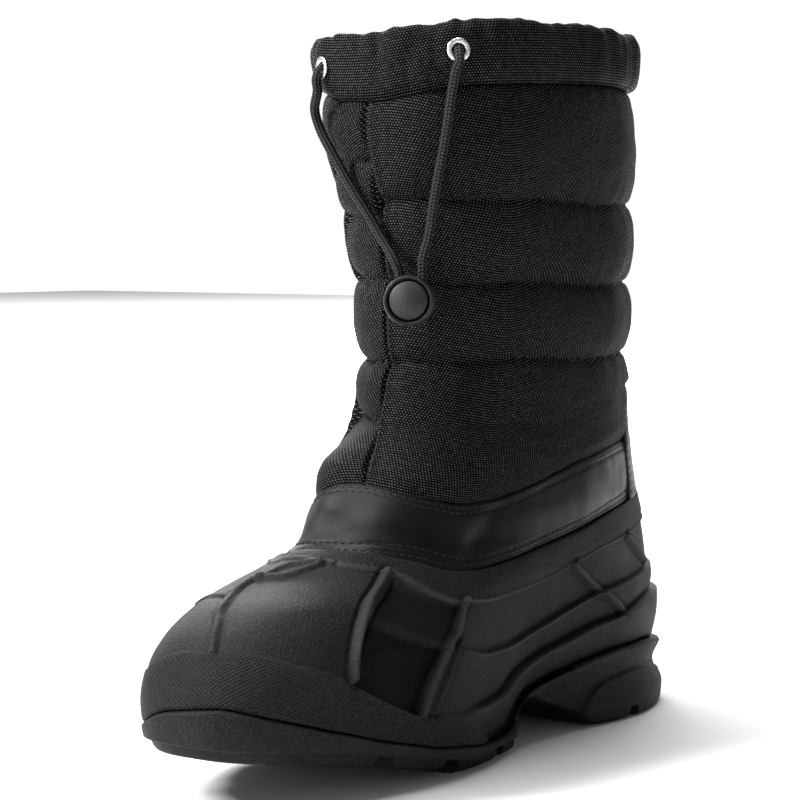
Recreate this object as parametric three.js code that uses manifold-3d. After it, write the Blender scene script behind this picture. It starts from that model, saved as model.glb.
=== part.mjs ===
import * as THREE from 'three';
import Module from 'manifold-3d';

const wasm = await Module();
wasm.setup();

// Winter boot for the left foot. Millimetres, +Z up, floor at z = 0, toe toward -Y, outer side +X.
// "forward" is the distance in front of the heel's back. "turn" is the angle round the boot:
// 0 at the heel's back, 90 on the outer side, 180 at the toe, 270 on the inner side.

const CENTRE_FORWARD = 157;
const TOE_SHIFT = 3;
const TOE_SHIFT_START = 150;
const TOE_SHIFT_LENGTH = 155;
const HEEL_SHIFT = 2.5;
const HEEL_SHIFT_END = 120;
const HEEL_SHIFT_HEIGHT = 95;
const GAP = 0.3;

// Horizontal sections of the outside: length from back to front, half widths at the heel,
// the waist and the ball (outer and inner side), and how round the two ends are.
const FORM = [
  { z: 0, back: 3, front: 288, heel: 48, waist: 36, ballOut: 51, ballIn: 48, backRound: 0.8, toeRound: 0.72 },
  { z: 12, back: 1, front: 304, heel: 49, waist: 39, ballOut: 56, ballIn: 52, backRound: 0.8, toeRound: 0.72 },
  { z: 25, back: 0, front: 314, heel: 49, waist: 42, ballOut: 58, ballIn: 54, backRound: 0.8, toeRound: 0.72 },
  { z: 38, back: 0, front: 316, heel: 49, waist: 43, ballOut: 57, ballIn: 54, backRound: 0.8, toeRound: 0.72 },
  { z: 50, back: 2, front: 313, heel: 48.5, waist: 43, ballOut: 55, ballIn: 52.5, backRound: 0.82, toeRound: 0.72 },
  { z: 60, back: 4, front: 305, heel: 47.5, waist: 43, ballOut: 52, ballIn: 49.5, backRound: 0.84, toeRound: 0.72 },
  { z: 70, back: 7, front: 288, heel: 46, waist: 44, ballOut: 48, ballIn: 45, backRound: 0.86, toeRound: 0.74 },
  { z: 80, back: 11, front: 254, heel: 45, waist: 44, ballOut: 44, ballIn: 41.5, backRound: 0.88, toeRound: 0.76 },
  { z: 90, back: 14, front: 231, heel: 44, waist: 44, ballOut: 42, ballIn: 40.5, backRound: 0.9, toeRound: 0.82 },
  { z: 100, back: 17, front: 219, heel: 43, waist: 45, ballOut: 42, ballIn: 42, backRound: 0.92, toeRound: 0.88 },
  { z: 115, back: 20, front: 204, heel: 41.5, waist: 44.5, ballOut: 44, ballIn: 44, backRound: 0.96, toeRound: 0.94 },
  { z: 135, back: 23.5, front: 187.5, heel: 41, waist: 43, ballOut: 43, ballIn: 43, backRound: 1, toeRound: 1 },
  { z: 165, back: 27, front: 182.5, heel: 44, waist: 46.5, ballOut: 46.5, ballIn: 46, backRound: 1, toeRound: 1 },
  { z: 200, back: 29, front: 183.5, heel: 47.5, waist: 50.5, ballOut: 50.5, ballIn: 50, backRound: 1, toeRound: 0.97 },
  { z: 250, back: 32, front: 194, heel: 54, waist: 57, ballOut: 57, ballIn: 57, backRound: 1, toeRound: 0.9 },
  { z: 310, back: 35, front: 205, heel: 60, waist: 63, ballOut: 63, ballIn: 63, backRound: 1, toeRound: 0.84 },
];

// Height of the parting line between outsole and rubber shell, by turn.
const SOLE_LINE = [
  [0, 27.5], [12, 27.5], [24, 28], [36, 30], [47, 31.3], [57, 31.4], [65, 30], [72, 27.8], [77, 26],
  [81, 24.5], [84.5, 22.5], [87.5, 17.8], [90, 13], [92.5, 10], [95.5, 9], [100, 9], [105, 10],
  [110, 12], [116, 14], [122, 18], [128, 21.5], [134, 25.5], [140, 28.8], [146, 32], [152, 34.7],
  [158, 37], [163, 38.5], [168, 39.3], [172, 39], [176, 38.5], [180, 37.3], [184, 35.6], [188, 33.6],
  [192, 31.6], [197, 29.3], [202, 27.3], [208, 25], [214, 22.8], [220, 20.5], [226, 18], [232, 15.8],
  [238, 13.5], [244, 12], [250, 10.8], [255, 9.8], [260, 9], [264.5, 9], [267.5, 10], [270, 13],
  [272.5, 17.8], [275.5, 22.5], [279, 24.5], [283, 26], [288, 27.8], [295, 30], [303, 31.4],
  [313, 31.3], [324, 30], [336, 28], [348, 27.5], [360, 27.5],
];

// Height of the visible lower edge of the leather band, which is also the top of the rubber rim.
const BAND_FOOT = [
  [0, 97], [40, 95.5], [55, 93], [70, 90], [83, 85.5], [93, 82], [101, 79], [110, 77.2], [119, 78],
  [134, 82.5], [148, 86], [158, 88], [168, 89.5], [176, 90], [184, 89.5], [194, 88], [210, 85],
  [226, 81.5], [241, 78], [250, 77.2], [259, 79], [267, 82], [277, 85.5], [290, 90], [305, 93],
  [320, 95.5], [360, 97],
];

// Height of the upper edge of the leather band.
const BAND_HEAD = [
  [0, 122], [56, 120.5], [85, 116.5], [97, 112], [107, 107], [117, 103.8], [127, 103.2], [138, 105.5],
  [154, 109], [164, 111], [175, 112], [184, 111.5], [194, 109.5], [208, 106], [222, 103.6],
  [234, 103.2], [243, 103.8], [253, 107], [263, 112], [275, 116.5], [304, 120.5], [360, 122],
];

// Underside of the outsole: height by forward distance, with arch and toe spring.
const TREAD_LINE = [
  [0, 2], [5, 0], [82, 0], [92, 2], [102, 8], [120, 15], [134, 19.6], [141, 18.5], [148, 11], [152, 3],
  [155, 0], [203, 0], [213, 2.2], [232, 6.5], [251, 11], [270, 14.5], [287, 17], [304, 18.8], [320, 22],
];

// Footbed: height of the top of the outsole inside the shell.
const BED_LINE = [
  [0, 25], [95, 25], [120, 24.6], [137, 24], [150, 20.5], [160, 15.5], [170, 11.8], [182, 9.8],
  [205, 9.8], [225, 11.5], [250, 15], [280, 19.5], [300, 22.5], [320, 26],
];

const RUBBER_WALL = 3.6;
const RIM_WALL = 2.4;
const BAND_WALL = 2;
const BAND_TUCK = 5;
const SHAFT_WALL = 6.4;
const SHAFT_TUCK = 6;
const QUILT_SEAMS = [162, 191.5, 224.5, 269];
const QUILT_PUFF = 1.2;
const QUILT_SINK = 2.6;
const COLLAR_TOP = 294;
const STAY = { half: 50, head: 139, wall: 1.6 };
const INSOLE_THICKNESS = 5;

const EYELET = { flange: 4.65, bore: 2.45, barrel: 2.9, hole: 3.2, height: 0.9, depth: 3 };
const EYELETS = [
  { name: 'eyelet_outer', turn: 146, z: 284 },
  { name: 'eyelet_inner', turn: 198.8, z: 278.8 },
];

const CORD_RADIUS = 2;
const LOCK = { radius: 10.1, depth: 14, bore: 8.2, boreDepth: 7, button: 7.75, travel: 2.5, dome: 1.8 };
const LOCK_PLACE = { x: 18.1, forward: 192.2, z: 185.3, faceTurn: 30, lean: 2 };
const LOCK_HOLES = { side: 4.4, back: 3.6, radius: 2.3, depth: 8 };

// Middle of each free cord, from the eyelet down to the lock, with its distance from the form.
const CORD_OUTER = [
  { turn: 147.3, z: 276.5, out: 5.6 }, { turn: 148.6, z: 269, out: 4.3 }, { turn: 151.8, z: 249.3, out: 4 },
  { turn: 156.6, z: 227.7, out: 4 }, { turn: 159.8, z: 211, out: 4.8 },
];
const CORD_INNER = [
  { turn: 203, z: 272.6, out: 5.8 }, { turn: 206.4, z: 264.5, out: 5.4 }, { turn: 204.2, z: 255, out: 4.8 },
  { turn: 198.6, z: 244.7, out: 4.3 }, { turn: 189.5, z: 229, out: 4.2 }, { turn: 183.2, z: 218.6, out: 4.4 },
  { turn: 178.6, z: 209.5, out: 5.2 },
];

// Smooth curve through a table that never overshoots between its rows.
function smoothTable(xs, ys) {
  const n = xs.length;
  const step = [];
  const slope = [];
  for (let i = 0; i < n - 1; i++) {
    step.push(xs[i + 1] - xs[i]);
    slope.push((ys[i + 1] - ys[i]) / step[i]);
  }
  const tangent = new Array(n).fill(0);
  tangent[0] = slope[0];
  tangent[n - 1] = slope[n - 2];
  for (let i = 1; i < n - 1; i++) {
    if (slope[i - 1] * slope[i] > 0) {
      const a = 2 * step[i] + step[i - 1];
      const b = step[i] + 2 * step[i - 1];
      tangent[i] = (a + b) / (a / slope[i - 1] + b / slope[i]);
    }
  }
  return (x) => {
    const at = Math.min(Math.max(x, xs[0]), xs[n - 1]);
    let i = 0;
    while (i < n - 2 && at > xs[i + 1]) i++;
    const h = step[i];
    const s = (at - xs[i]) / h;
    const s2 = s * s;
    const s3 = s2 * s;
    return ys[i] * (2 * s3 - 3 * s2 + 1) + tangent[i] * h * (s3 - 2 * s2 + s)
      + ys[i + 1] * (3 * s2 - 2 * s3) + tangent[i + 1] * h * (s3 - s2);
  };
}

const heights = FORM.map((row) => row.z);
const section = {};
for (const key of ['back', 'front', 'heel', 'waist', 'ballOut', 'ballIn', 'backRound', 'toeRound']) {
  section[key] = smoothTable(heights, FORM.map((row) => row[key]));
}
const lineTable = (table) => smoothTable(table.map((row) => row[0]), table.map((row) => row[1]));
const soleLine = lineTable(SOLE_LINE);
const bandFoot = lineTable(BAND_FOOT);
const bandHead = lineTable(BAND_HEAD);
const treadLine = lineTable(TREAD_LINE);
const bedLine = lineTable(BED_LINE);

const radians = (degrees) => (degrees * Math.PI) / 180;
const mix = (a, b, t) => a + (b - a) * t;
function ease(a, b, t) {
  const s = Math.min(Math.max(t, 0), 1);
  return mix(a, b, s * s * (3 - 2 * s));
}

function halfWidth(t, z, outer) {
  const heel = section.heel(z);
  const waist = section.waist(z);
  const ball = outer ? section.ballOut(z) : section.ballIn(z);
  if (t < 0.42) return ease(heel, waist, (t - 0.15) / 0.27);
  return ease(waist, ball, (t - 0.42) / 0.28);
}

// Point on the outside of the boot at a turn and a height.
function formPoint(turn, z) {
  const t = (1 - Math.cos(radians(turn))) / 2;
  const forward = mix(section.back(z), section.front(z), t);
  const side = Math.sin(radians(turn));
  const round = mix(section.backRound(z), section.toeRound(z), t);
  const width = halfWidth(t, z, side > 0) * Math.abs(side) ** round;
  const swing = TOE_SHIFT * Math.min(Math.max((forward - TOE_SHIFT_START) / TOE_SHIFT_LENGTH, 0), 1) ** 1.5;
  const low = Math.min(Math.max(1 - z / HEEL_SHIFT_HEIGHT, 0), 1);
  const heel = HEEL_SHIFT * ease(1, 0, forward / HEEL_SHIFT_END) * ease(0, 1, 2 * low);
  return new THREE.Vector3(Math.sign(side) * width + swing + heel, CENTRE_FORWARD - forward, z);
}

function formNormal(turn, z) {
  const across = formPoint(turn + 0.5, z).sub(formPoint(turn - 0.5, z));
  const up = formPoint(turn, z + 0.5).sub(formPoint(turn, z - 0.5));
  return up.cross(across).normalize();
}

// Point at a distance outside (+) or inside (-) of the boot's outside.
function offsetPoint(turn, z, distance) {
  return formPoint(turn, z).addScaledVector(formNormal(turn, z), distance);
}

// Same, moved only sideways so the height stays put.
function levelPoint(turn, z, distance) {
  const normal = formNormal(turn, z).setZ(0).normalize();
  return formPoint(turn, z).addScaledVector(normal, distance);
}

// Heights that split the run from low to high into parts of equal length along the surface.
function evenHeights(turn, low, high, parts) {
  const fine = 60;
  const run = [0];
  let before = formPoint(turn, low);
  for (let i = 1; i <= fine; i++) {
    const here = formPoint(turn, mix(low, high, i / fine));
    run.push(run[i - 1] + here.distanceTo(before));
    before = here;
  }
  const out = [];
  for (let k = 0; k <= parts; k++) {
    const goal = (run[fine] * k) / parts;
    let i = 1;
    while (i < fine && run[i] < goal) i++;
    const s = (goal - run[i - 1]) / (run[i] - run[i - 1]);
    out.push(mix(low, high, (i - 1 + s) / fine));
  }
  return out;
}

function makeSolid(points, faces) {
  let volume = 0;
  for (const [a, b, c] of faces) {
    volume += points[a].dot(points[b].clone().cross(points[c]));
  }
  const turned = volume < 0 ? faces.map(([a, b, c]) => [a, c, b]) : faces;
  const geometry = new THREE.BufferGeometry();
  const flat = points.flatMap((p) => [p.x, p.y, p.z]);
  geometry.setAttribute('position', new THREE.Float32BufferAttribute(flat, 3));
  geometry.setIndex(turned.flat());
  return geometry;
}

function addQuad(faces, a, b, c, d) {
  faces.push([a, b, c], [a, c, d]);
}

// A closed ring round the boot: each loop is one corner of the wall's cross-section.
function ringSolid(loops) {
  const around = loops[0].length;
  const points = loops.flat();
  const faces = [];
  for (let k = 0; k < loops.length; k++) {
    const next = (k + 1) % loops.length;
    for (let i = 0; i < around; i++) {
      const j = (i + 1) % around;
      addQuad(faces, k * around + i, k * around + j, next * around + j, next * around + i);
    }
  }
  return makeSolid(points, faces);
}

// Stacked loops closed at both ends by rungs from the outer side to the inner side.
function stackSolid(loops) {
  const around = loops[0].length;
  const half = around / 2;
  const points = loops.flat();
  const faces = [];
  for (let k = 0; k < loops.length - 1; k++) {
    for (let i = 0; i < around; i++) {
      const j = (i + 1) % around;
      addQuad(faces, k * around + i, k * around + j, (k + 1) * around + j, (k + 1) * around + i);
    }
  }
  const cap = (start, flip) => {
    const add = (a, b, c) => faces.push(flip ? [a, c, b] : [a, b, c]);
    for (let i = 0; i < half; i++) {
      const [a, b, c, d] = [i, i + 1, around - i - 1, (around - i) % around].map((v) => start + v);
      if (b !== c) add(a, b, c);
      if (a !== d) add(a, c, d);
    }
  };
  cap(0, true);
  cap((loops.length - 1) * around, false);
  return makeSolid(points, faces);
}

// A plate with an outer and an inner face, both given as columns of points.
function plateSolid(outer, inner) {
  const columns = outer.length;
  const rows = outer[0].length;
  const points = [...outer.flat(), ...inner.flat()];
  const back = columns * rows;
  const faces = [];
  for (let i = 0; i < columns - 1; i++) {
    for (let j = 0; j < rows - 1; j++) {
      const a = i * rows + j;
      addQuad(faces, a, a + rows, a + rows + 1, a + 1);
      addQuad(faces, back + a, back + a + 1, back + a + rows + 1, back + a + rows);
    }
  }
  for (let i = 0; i < columns - 1; i++) {
    const a = i * rows;
    addQuad(faces, a, back + a, back + a + rows, a + rows);
    const b = a + rows - 1;
    addQuad(faces, b, b + rows, back + b + rows, back + b);
  }
  for (let j = 0; j < rows - 1; j++) {
    addQuad(faces, j, j + 1, back + j + 1, back + j);
    const b = (columns - 1) * rows + j;
    addQuad(faces, b, back + b, back + b + 1, b + 1);
  }
  return makeSolid(points, faces);
}

function toManifold(geometry) {
  const merged = geometry.index ? geometry : null;
  const position = geometry.attributes.position;
  const keys = new Map();
  const corners = [];
  const remap = [];
  for (let i = 0; i < position.count; i++) {
    const p = [position.getX(i), position.getY(i), position.getZ(i)];
    const key = p.map((v) => Math.round(v * 10000)).join(',');
    if (!keys.has(key)) {
      keys.set(key, corners.length / 3);
      corners.push(...p);
    }
    remap.push(keys.get(key));
  }
  const order = merged ? Array.from(merged.index.array) : remap.map((_, i) => i);
  const triangles = [];
  for (let i = 0; i < order.length; i += 3) {
    const [a, b, c] = [remap[order[i]], remap[order[i + 1]], remap[order[i + 2]]];
    if (a !== b && b !== c && a !== c) triangles.push(a, b, c);
  }
  return new wasm.Manifold(new wasm.Mesh({
    numProp: 3, vertProperties: new Float32Array(corners), triVerts: new Uint32Array(triangles),
  }));
}

function fromManifold(solid) {
  const mesh = solid.getMesh();
  const geometry = new THREE.BufferGeometry();
  const flat = [];
  for (let i = 0; i < mesh.vertProperties.length; i += mesh.numProp) {
    flat.push(mesh.vertProperties[i], mesh.vertProperties[i + 1], mesh.vertProperties[i + 2]);
  }
  geometry.setAttribute('position', new THREE.Float32BufferAttribute(flat, 3));
  geometry.setIndex(Array.from(mesh.triVerts));
  return geometry;
}

function cut(geometry, tools) {
  let solid = toManifold(geometry);
  for (const tool of tools) solid = solid.subtract(toManifold(tool));
  return fromManifold(solid);
}

const FOOT_TURNS = [
  0, 12, 24, 36, 47, 57, 65, 72, 77, 81, 84.5, 87.5, 90, 92.5, 95.5, 100, 105, 110, 116, 122, 128, 134,
  140, 146, 152, 158, 163, 168, 172, 176, 180,
];
const footTurns = [...FOOT_TURNS, ...FOOT_TURNS.slice(1, -1).reverse().map((turn) => 360 - turn)];
const shaftTurns = Array.from({ length: 48 }, (_, i) => i * 7.5);

function forwardOf(point) {
  return CENTRE_FORWARD - point.y;
}

// Outsole: a rand that follows the sole line, a recessed bed, and an underside with lugs.
function makeOutsole() {
  const edgeAt = (turn, inset, lift) => {
    const low = levelPoint(turn, 4, -inset);
    const tread = treadLine(forwardOf(low));
    const point = levelPoint(turn, Math.min(tread + 4, soleLine(turn) - 1), -inset);
    point.z = tread + lift;
    return point;
  };
  const under = footTurns.map((turn) => edgeAt(turn, 3.5, 0));
  const corner = footTurns.map((turn) => edgeAt(turn, 0.9, 0.4));
  const foot = footTurns.map((turn) => {
    const point = edgeAt(turn, 0, 0);
    const high = Math.min(point.z + 2.2, mix(point.z, soleLine(turn), 0.5));
    return formPoint(turn, high);
  });
  const middle = footTurns.map((turn, i) => formPoint(turn, mix(foot[i].z, soleLine(turn), 0.5)));
  const top = footTurns.map((turn) => formPoint(turn, soleLine(turn)));
  const shelf = footTurns.map((turn) => levelPoint(turn, soleLine(turn), -RUBBER_WALL - 1.2));
  const bed = footTurns.map((turn) => {
    const point = levelPoint(turn, soleLine(turn), -RUBBER_WALL - 2.4);
    point.z = bedLine(forwardOf(point));
    return point;
  });
  const body = stackSolid([under, corner, foot, middle, top, shelf, bed]);
  const grooves = [];
  const groove = (forward, width, depth, x, length, spin) => {
    const box = new THREE.BoxGeometry(length, width, depth * 2);
    const slope = Math.atan2(treadLine(forward + 4) - treadLine(forward - 4), 8);
    box.rotateX(-slope);
    box.rotateZ(radians(spin));
    box.translate(x, CENTRE_FORWARD - forward, treadLine(forward));
    grooves.push(box);
  };
  const FORE_GROOVES = [
    { forward: 170, width: 4.5, depth: 3.5 }, { forward: 190, width: 4.5, depth: 3.5 },
    { forward: 209, width: 5, depth: 3.8 }, { forward: 230, width: 4.5, depth: 3.5 },
    { forward: 251, width: 5, depth: 3.8 }, { forward: 270, width: 4.5, depth: 3.4 },
    { forward: 288, width: 4, depth: 3 },
  ];
  for (const { forward, width, depth } of FORE_GROOVES) {
    groove(forward, width, depth, 36, 60, 14);
    groove(forward, width, depth, -36, 60, -14);
  }
  groove(27, 4.5, 3.6, 38, 56, 10);
  groove(27, 4.5, 3.6, -38, 56, -10);
  groove(54, 5, 3.8, 38, 56, 10);
  groove(54, 5, 3.8, -38, 56, -10);
  return cut(body, grooves);
}

function makeInsole() {
  const rim = (lift, inset) => footTurns.map((turn) => {
    const at = levelPoint(turn, Math.max(soleLine(turn), 30), -RUBBER_WALL - inset);
    const low = levelPoint(turn, soleLine(turn), -RUBBER_WALL - inset);
    const point = at.distanceTo(new THREE.Vector3(0, at.y, at.z)) < Math.abs(low.x) ? at : low;
    point.z = bedLine(forwardOf(point)) + lift;
    return point;
  });
  return stackSolid([rim(GAP, 5), rim(GAP + 1.5, 4), rim(GAP + INSOLE_THICKNESS, 4)]);
}

function makeShell() {
  const parts = 9;
  const innerParts = 6;
  const outer = [];
  const inner = [];
  const columns = footTurns.map((turn) => {
    const low = soleLine(turn) + GAP;
    const high = bandFoot(turn);
    const tuck = high - BAND_TUCK - 1.5;
    const rims = evenHeights(turn, low, tuck, parts).map((z) => offsetPoint(turn, z, 0));
    rims[0] = levelPoint(turn, low, 0);
    rims.push(offsetPoint(turn, high, 0.3));
    const walls = evenHeights(turn, low, tuck - 2, innerParts).map((z) => offsetPoint(turn, z, -RUBBER_WALL));
    walls[0] = levelPoint(turn, low, -RUBBER_WALL);
    walls.push(offsetPoint(turn, tuck, -RIM_WALL), offsetPoint(turn, high, 0.3 - RIM_WALL));
    return { rims, walls };
  });
  for (let k = 0; k <= parts + 1; k++) outer.push(columns.map((column) => column.rims[k]));
  for (let k = innerParts + 2; k >= 0; k--) inner.push(columns.map((column) => column.walls[k]));
  return ringSolid([...outer, ...inner]);
}

function makeBand() {
  const rows = [
    { lift: -BAND_TUCK, from: 'foot', out: -RIM_WALL - 1.3 },
    { lift: 1, from: 'foot', out: -RIM_WALL - 0.9 },
    { lift: 4, from: 'foot', out: -0.9 },
    { lift: 0.5, from: 'middle', out: 0.2 },
    { lift: -1, from: 'head', out: 0 },
    { lift: 0, from: 'head', out: -0.6 },
  ];
  const place = (turn, row, inward) => {
    const low = bandFoot(turn);
    const high = bandHead(turn);
    const z = { foot: low, middle: (low + high) / 2, head: high }[row.from] + row.lift;
    return offsetPoint(turn, z, row.out - inward);
  };
  const outer = rows.map((row) => footTurns.map((turn) => place(turn, row, 0)));
  const inner = rows.filter((_, k) => k % 2 === 0 || k === 5).map((row) => footTurns.map((turn) => place(turn, row, BAND_WALL)));
  return ringSolid([...outer, ...inner.reverse()]);
}

function puff(t) {
  return mix(-QUILT_SINK, QUILT_PUFF, Math.sin(Math.PI * t) ** 0.6);
}

function makeShaft() {
  const tuckOut = -BAND_WALL - 1.5;
  const steps = [0.14, 0.5, 0.86, 1];
  const outerColumn = (turn) => {
    const start = bandHead(turn) + 1.5;
    const column = [offsetPoint(turn, start - SHAFT_TUCK - 1.5, tuckOut), offsetPoint(turn, start, tuckOut)];
    let low = start;
    for (const high of QUILT_SEAMS) {
      for (const t of steps) column.push(offsetPoint(turn, mix(low, high, t), puff(t)));
      low = high;
    }
    column[column.length - 1] = levelPoint(turn, low - GAP, -QUILT_SINK);
    return column;
  };
  const innerColumn = (turn) => {
    const start = bandHead(turn) - SHAFT_TUCK;
    const top = QUILT_SEAMS[QUILT_SEAMS.length - 1] - GAP;
    const column = [offsetPoint(turn, start, tuckOut - 4)];
    for (const t of [0.33, 0.67]) column.push(offsetPoint(turn, mix(start, top, t), -QUILT_SINK - SHAFT_WALL + 1.5));
    column.push(levelPoint(turn, top, -QUILT_SINK - 4.5));
    return column;
  };
  const outer = shaftTurns.map(outerColumn);
  const inner = shaftTurns.map(innerColumn);
  const loops = outer[0].map((_, k) => outer.map((column) => column[k]));
  const back = inner[0].map((_, k) => inner.map((column) => column[k])).reverse();
  return ringSolid([...loops, ...back]);
}

function makeCollar() {
  const seam = QUILT_SEAMS[QUILT_SEAMS.length - 1];
  const rows = [
    { z: seam, out: -QUILT_SINK }, { z: seam + 2.5, out: 0.4 }, { z: seam + 8, out: 1.4 },
    { z: seam + 15, out: 1.6 }, { z: seam + 21, out: 0.8 }, { z: COLLAR_TOP - 1.2, out: -1.6 },
    { z: COLLAR_TOP, out: -4.2 }, { z: COLLAR_TOP - 1.5, out: -7 }, { z: seam + 19, out: -9 },
    { z: seam + 8, out: -9.4 }, { z: seam, out: -QUILT_SINK - 4.5 },
  ];
  const ring = ringSolid(rows.map((row) => shaftTurns.map((turn) => levelPoint(turn, row.z, row.out))));
  const holes = EYELETS.map((eyelet) => {
    const drill = new THREE.CylinderGeometry(EYELET.hole, EYELET.hole, 10, 16);
    drill.rotateX(Math.PI / 2);
    return placeOn(drill, eyelet, 1.4);
  });
  return cut(ring, holes);
}

// Turns a shape made along +Z so that it stands on the collar and faces outward.
function placeOn(geometry, eyelet, lift) {
  const seat = levelPoint(eyelet.turn, eyelet.z, 1.7);
  const normal = formNormal(eyelet.turn, eyelet.z).setZ(0).normalize();
  const turn = new THREE.Quaternion().setFromUnitVectors(new THREE.Vector3(0, 0, 1), normal);
  geometry.applyQuaternion(turn);
  const place = seat.addScaledVector(normal, lift);
  return geometry.translate(place.x, place.y, place.z);
}

function latheSolid(profile, sides) {
  const loops = profile.map(([radius, height]) => Array.from({ length: sides }, (_, i) => {
    const angle = (i / sides) * Math.PI * 2;
    return new THREE.Vector3(radius * Math.cos(angle), radius * Math.sin(angle), height);
  }));
  return ringSolid(loops);
}

function makeEyelet(eyelet) {
  const { flange, bore, barrel, height, depth } = EYELET;
  const ring = latheSolid([
    [bore, -depth], [barrel, -depth], [barrel, 0.1], [flange - 0.3, 0.1], [flange, 0.4],
    [flange - 1.1, height], [bore + 0.5, height], [bore, height - 0.4],
  ], 16);
  return placeOn(ring, eyelet, 0.55);
}

function solidOfTurning(profile, sides) {
  const points = [new THREE.Vector3(0, 0, profile[0][1])];
  const faces = [];
  for (const [radius, height] of profile) {
    for (let i = 0; i < sides; i++) {
      const angle = (i / sides) * Math.PI * 2;
      points.push(new THREE.Vector3(radius * Math.cos(angle), radius * Math.sin(angle), height));
    }
  }
  points.push(new THREE.Vector3(0, 0, profile[profile.length - 1][1]));
  const last = points.length - 1;
  for (let i = 0; i < sides; i++) {
    const j = (i + 1) % sides;
    faces.push([0, 1 + j, 1 + i]);
    for (let k = 0; k < profile.length - 1; k++) {
      const a = 1 + k * sides;
      addQuad(faces, a + i, a + j, a + sides + j, a + sides + i);
    }
    const b = 1 + (profile.length - 1) * sides;
    faces.push([last, b + i, b + j]);
  }
  return makeSolid(points, faces);
}

// The lock is modelled with its button toward +Z, then turned to face forward and outward.
function lockFrame() {
  const face = radians(LOCK_PLACE.faceTurn);
  const lean = radians(LOCK_PLACE.lean);
  const out = new THREE.Vector3(Math.sin(face) * Math.cos(lean), -Math.cos(face) * Math.cos(lean), Math.sin(lean));
  const right = new THREE.Vector3(Math.cos(face), Math.sin(face), 0);
  const up = new THREE.Vector3().crossVectors(out, right);
  const matrix = new THREE.Matrix4().makeBasis(right, up, out);
  matrix.setPosition(LOCK_PLACE.x, CENTRE_FORWARD - LOCK_PLACE.forward, LOCK_PLACE.z);
  return matrix;
}

function makeLock() {
  const { radius, depth, bore, boreDepth } = LOCK;
  const half = depth / 2;
  const body = solidOfTurning([
    [radius - 2, -half], [radius - 0.5, -half + 1], [radius, -half + 3], [radius, half - 2],
    [radius - 0.4, half - 0.6], [radius - 1, half], [bore + 0.5, half], [bore, half - 0.6],
    [bore, half - boreDepth],
  ], 32);
  const drills = [-1, 1].map((side) => {
    const drill = new THREE.CylinderGeometry(LOCK_HOLES.radius, LOCK_HOLES.radius, LOCK_HOLES.depth * 2, 14);
    return drill.translate(side * LOCK_HOLES.side, radius - 0.6, -half + LOCK_HOLES.back);
  });
  return cut(body, drills).applyMatrix4(lockFrame());
}

function makeButton() {
  const { button, dome, boreDepth, travel, depth } = LOCK;
  const seat = depth / 2 - boreDepth + travel + GAP;
  const face = depth / 2 + 0.6;
  return solidOfTurning([
    [button - 0.4, seat], [button, seat + 0.5], [button, face - 0.9], [button - 0.5, face],
    [button * 0.72, face + dome * 0.55], [button * 0.38, face + dome * 0.9],
  ], 32).applyMatrix4(lockFrame());
}

function cordEnd(side) {
  const frame = lockFrame();
  const back = -LOCK.depth / 2 + LOCK_HOLES.back;
  const at = (up) => new THREE.Vector3(side * LOCK_HOLES.side, up, back).applyMatrix4(frame);
  return [at(LOCK.radius + 6), at(LOCK.radius + 1.5), at(LOCK.radius - 4)];
}

function makeCord(eyelet, table, side) {
  const normal = formNormal(eyelet.turn, eyelet.z).setZ(0).normalize();
  const seat = levelPoint(eyelet.turn, eyelet.z, 1.7);
  const start = [
    seat.clone().addScaledVector(normal, -2.4),
    seat.clone().addScaledVector(normal, 0.4),
    seat.clone().addScaledVector(normal, 2.2),
    seat.clone().addScaledVector(normal, 4.2).add(new THREE.Vector3(0, 0, -1.9)),
  ];
  const run = table.map((row) => levelPoint(row.turn, row.z, row.out));
  const path = new THREE.CatmullRomCurve3([...start, ...run, ...cordEnd(side)], false, 'centripetal');
  const outline = new THREE.Shape();
  for (let i = 0; i < 8; i++) {
    const angle = (i / 8) * Math.PI * 2;
    const x = CORD_RADIUS * Math.cos(angle);
    const y = CORD_RADIUS * Math.sin(angle);
    if (i === 0) outline.moveTo(x, y);
    else outline.lineTo(x, y);
  }
  outline.closePath();
  return new THREE.ExtrudeGeometry(outline, { steps: 32, extrudePath: path, bevelEnabled: false });
}

function makeStay() {
  const columns = 13;
  const rows = [-0.04, 0.3, 0.5, 0.7, 0.85, 1];
  const place = (turn, t, inward) => {
    const around = Math.abs(turn) / STAY.half;
    const low = bandFoot((turn + 360) % 360) + GAP + 0.3;
    const high = STAY.head + 7 * (1 - around ** 2);
    const z = mix(low, high, Math.max(t, 0));
    const puffed = z > bandHead((turn + 360) % 360) ? 1.4 : 0.5;
    return offsetPoint((turn + 360) % 360, z, puffed + STAY.wall - inward);
  };
  const outer = [];
  const inner = [];
  for (let i = 0; i < columns; i++) {
    const turn = mix(-STAY.half, STAY.half, i / (columns - 1));
    outer.push(rows.map((t) => place(turn, t, 0)));
    inner.push(rows.map((t) => place(turn, t, STAY.wall)));
  }
  return plateSolid(outer, inner);
}

function addPiece(group, name, geometry, colour, roughness, metalness) {
  const shape = geometry.index ? geometry.toNonIndexed() : geometry;
  shape.deleteAttribute('uv');
  shape.computeVertexNormals();
  const material = new THREE.MeshStandardMaterial({ color: colour, roughness, metalness });
  material.name = name;
  const mesh = new THREE.Mesh(shape, material);
  mesh.name = name;
  group.add(mesh);
}

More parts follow.
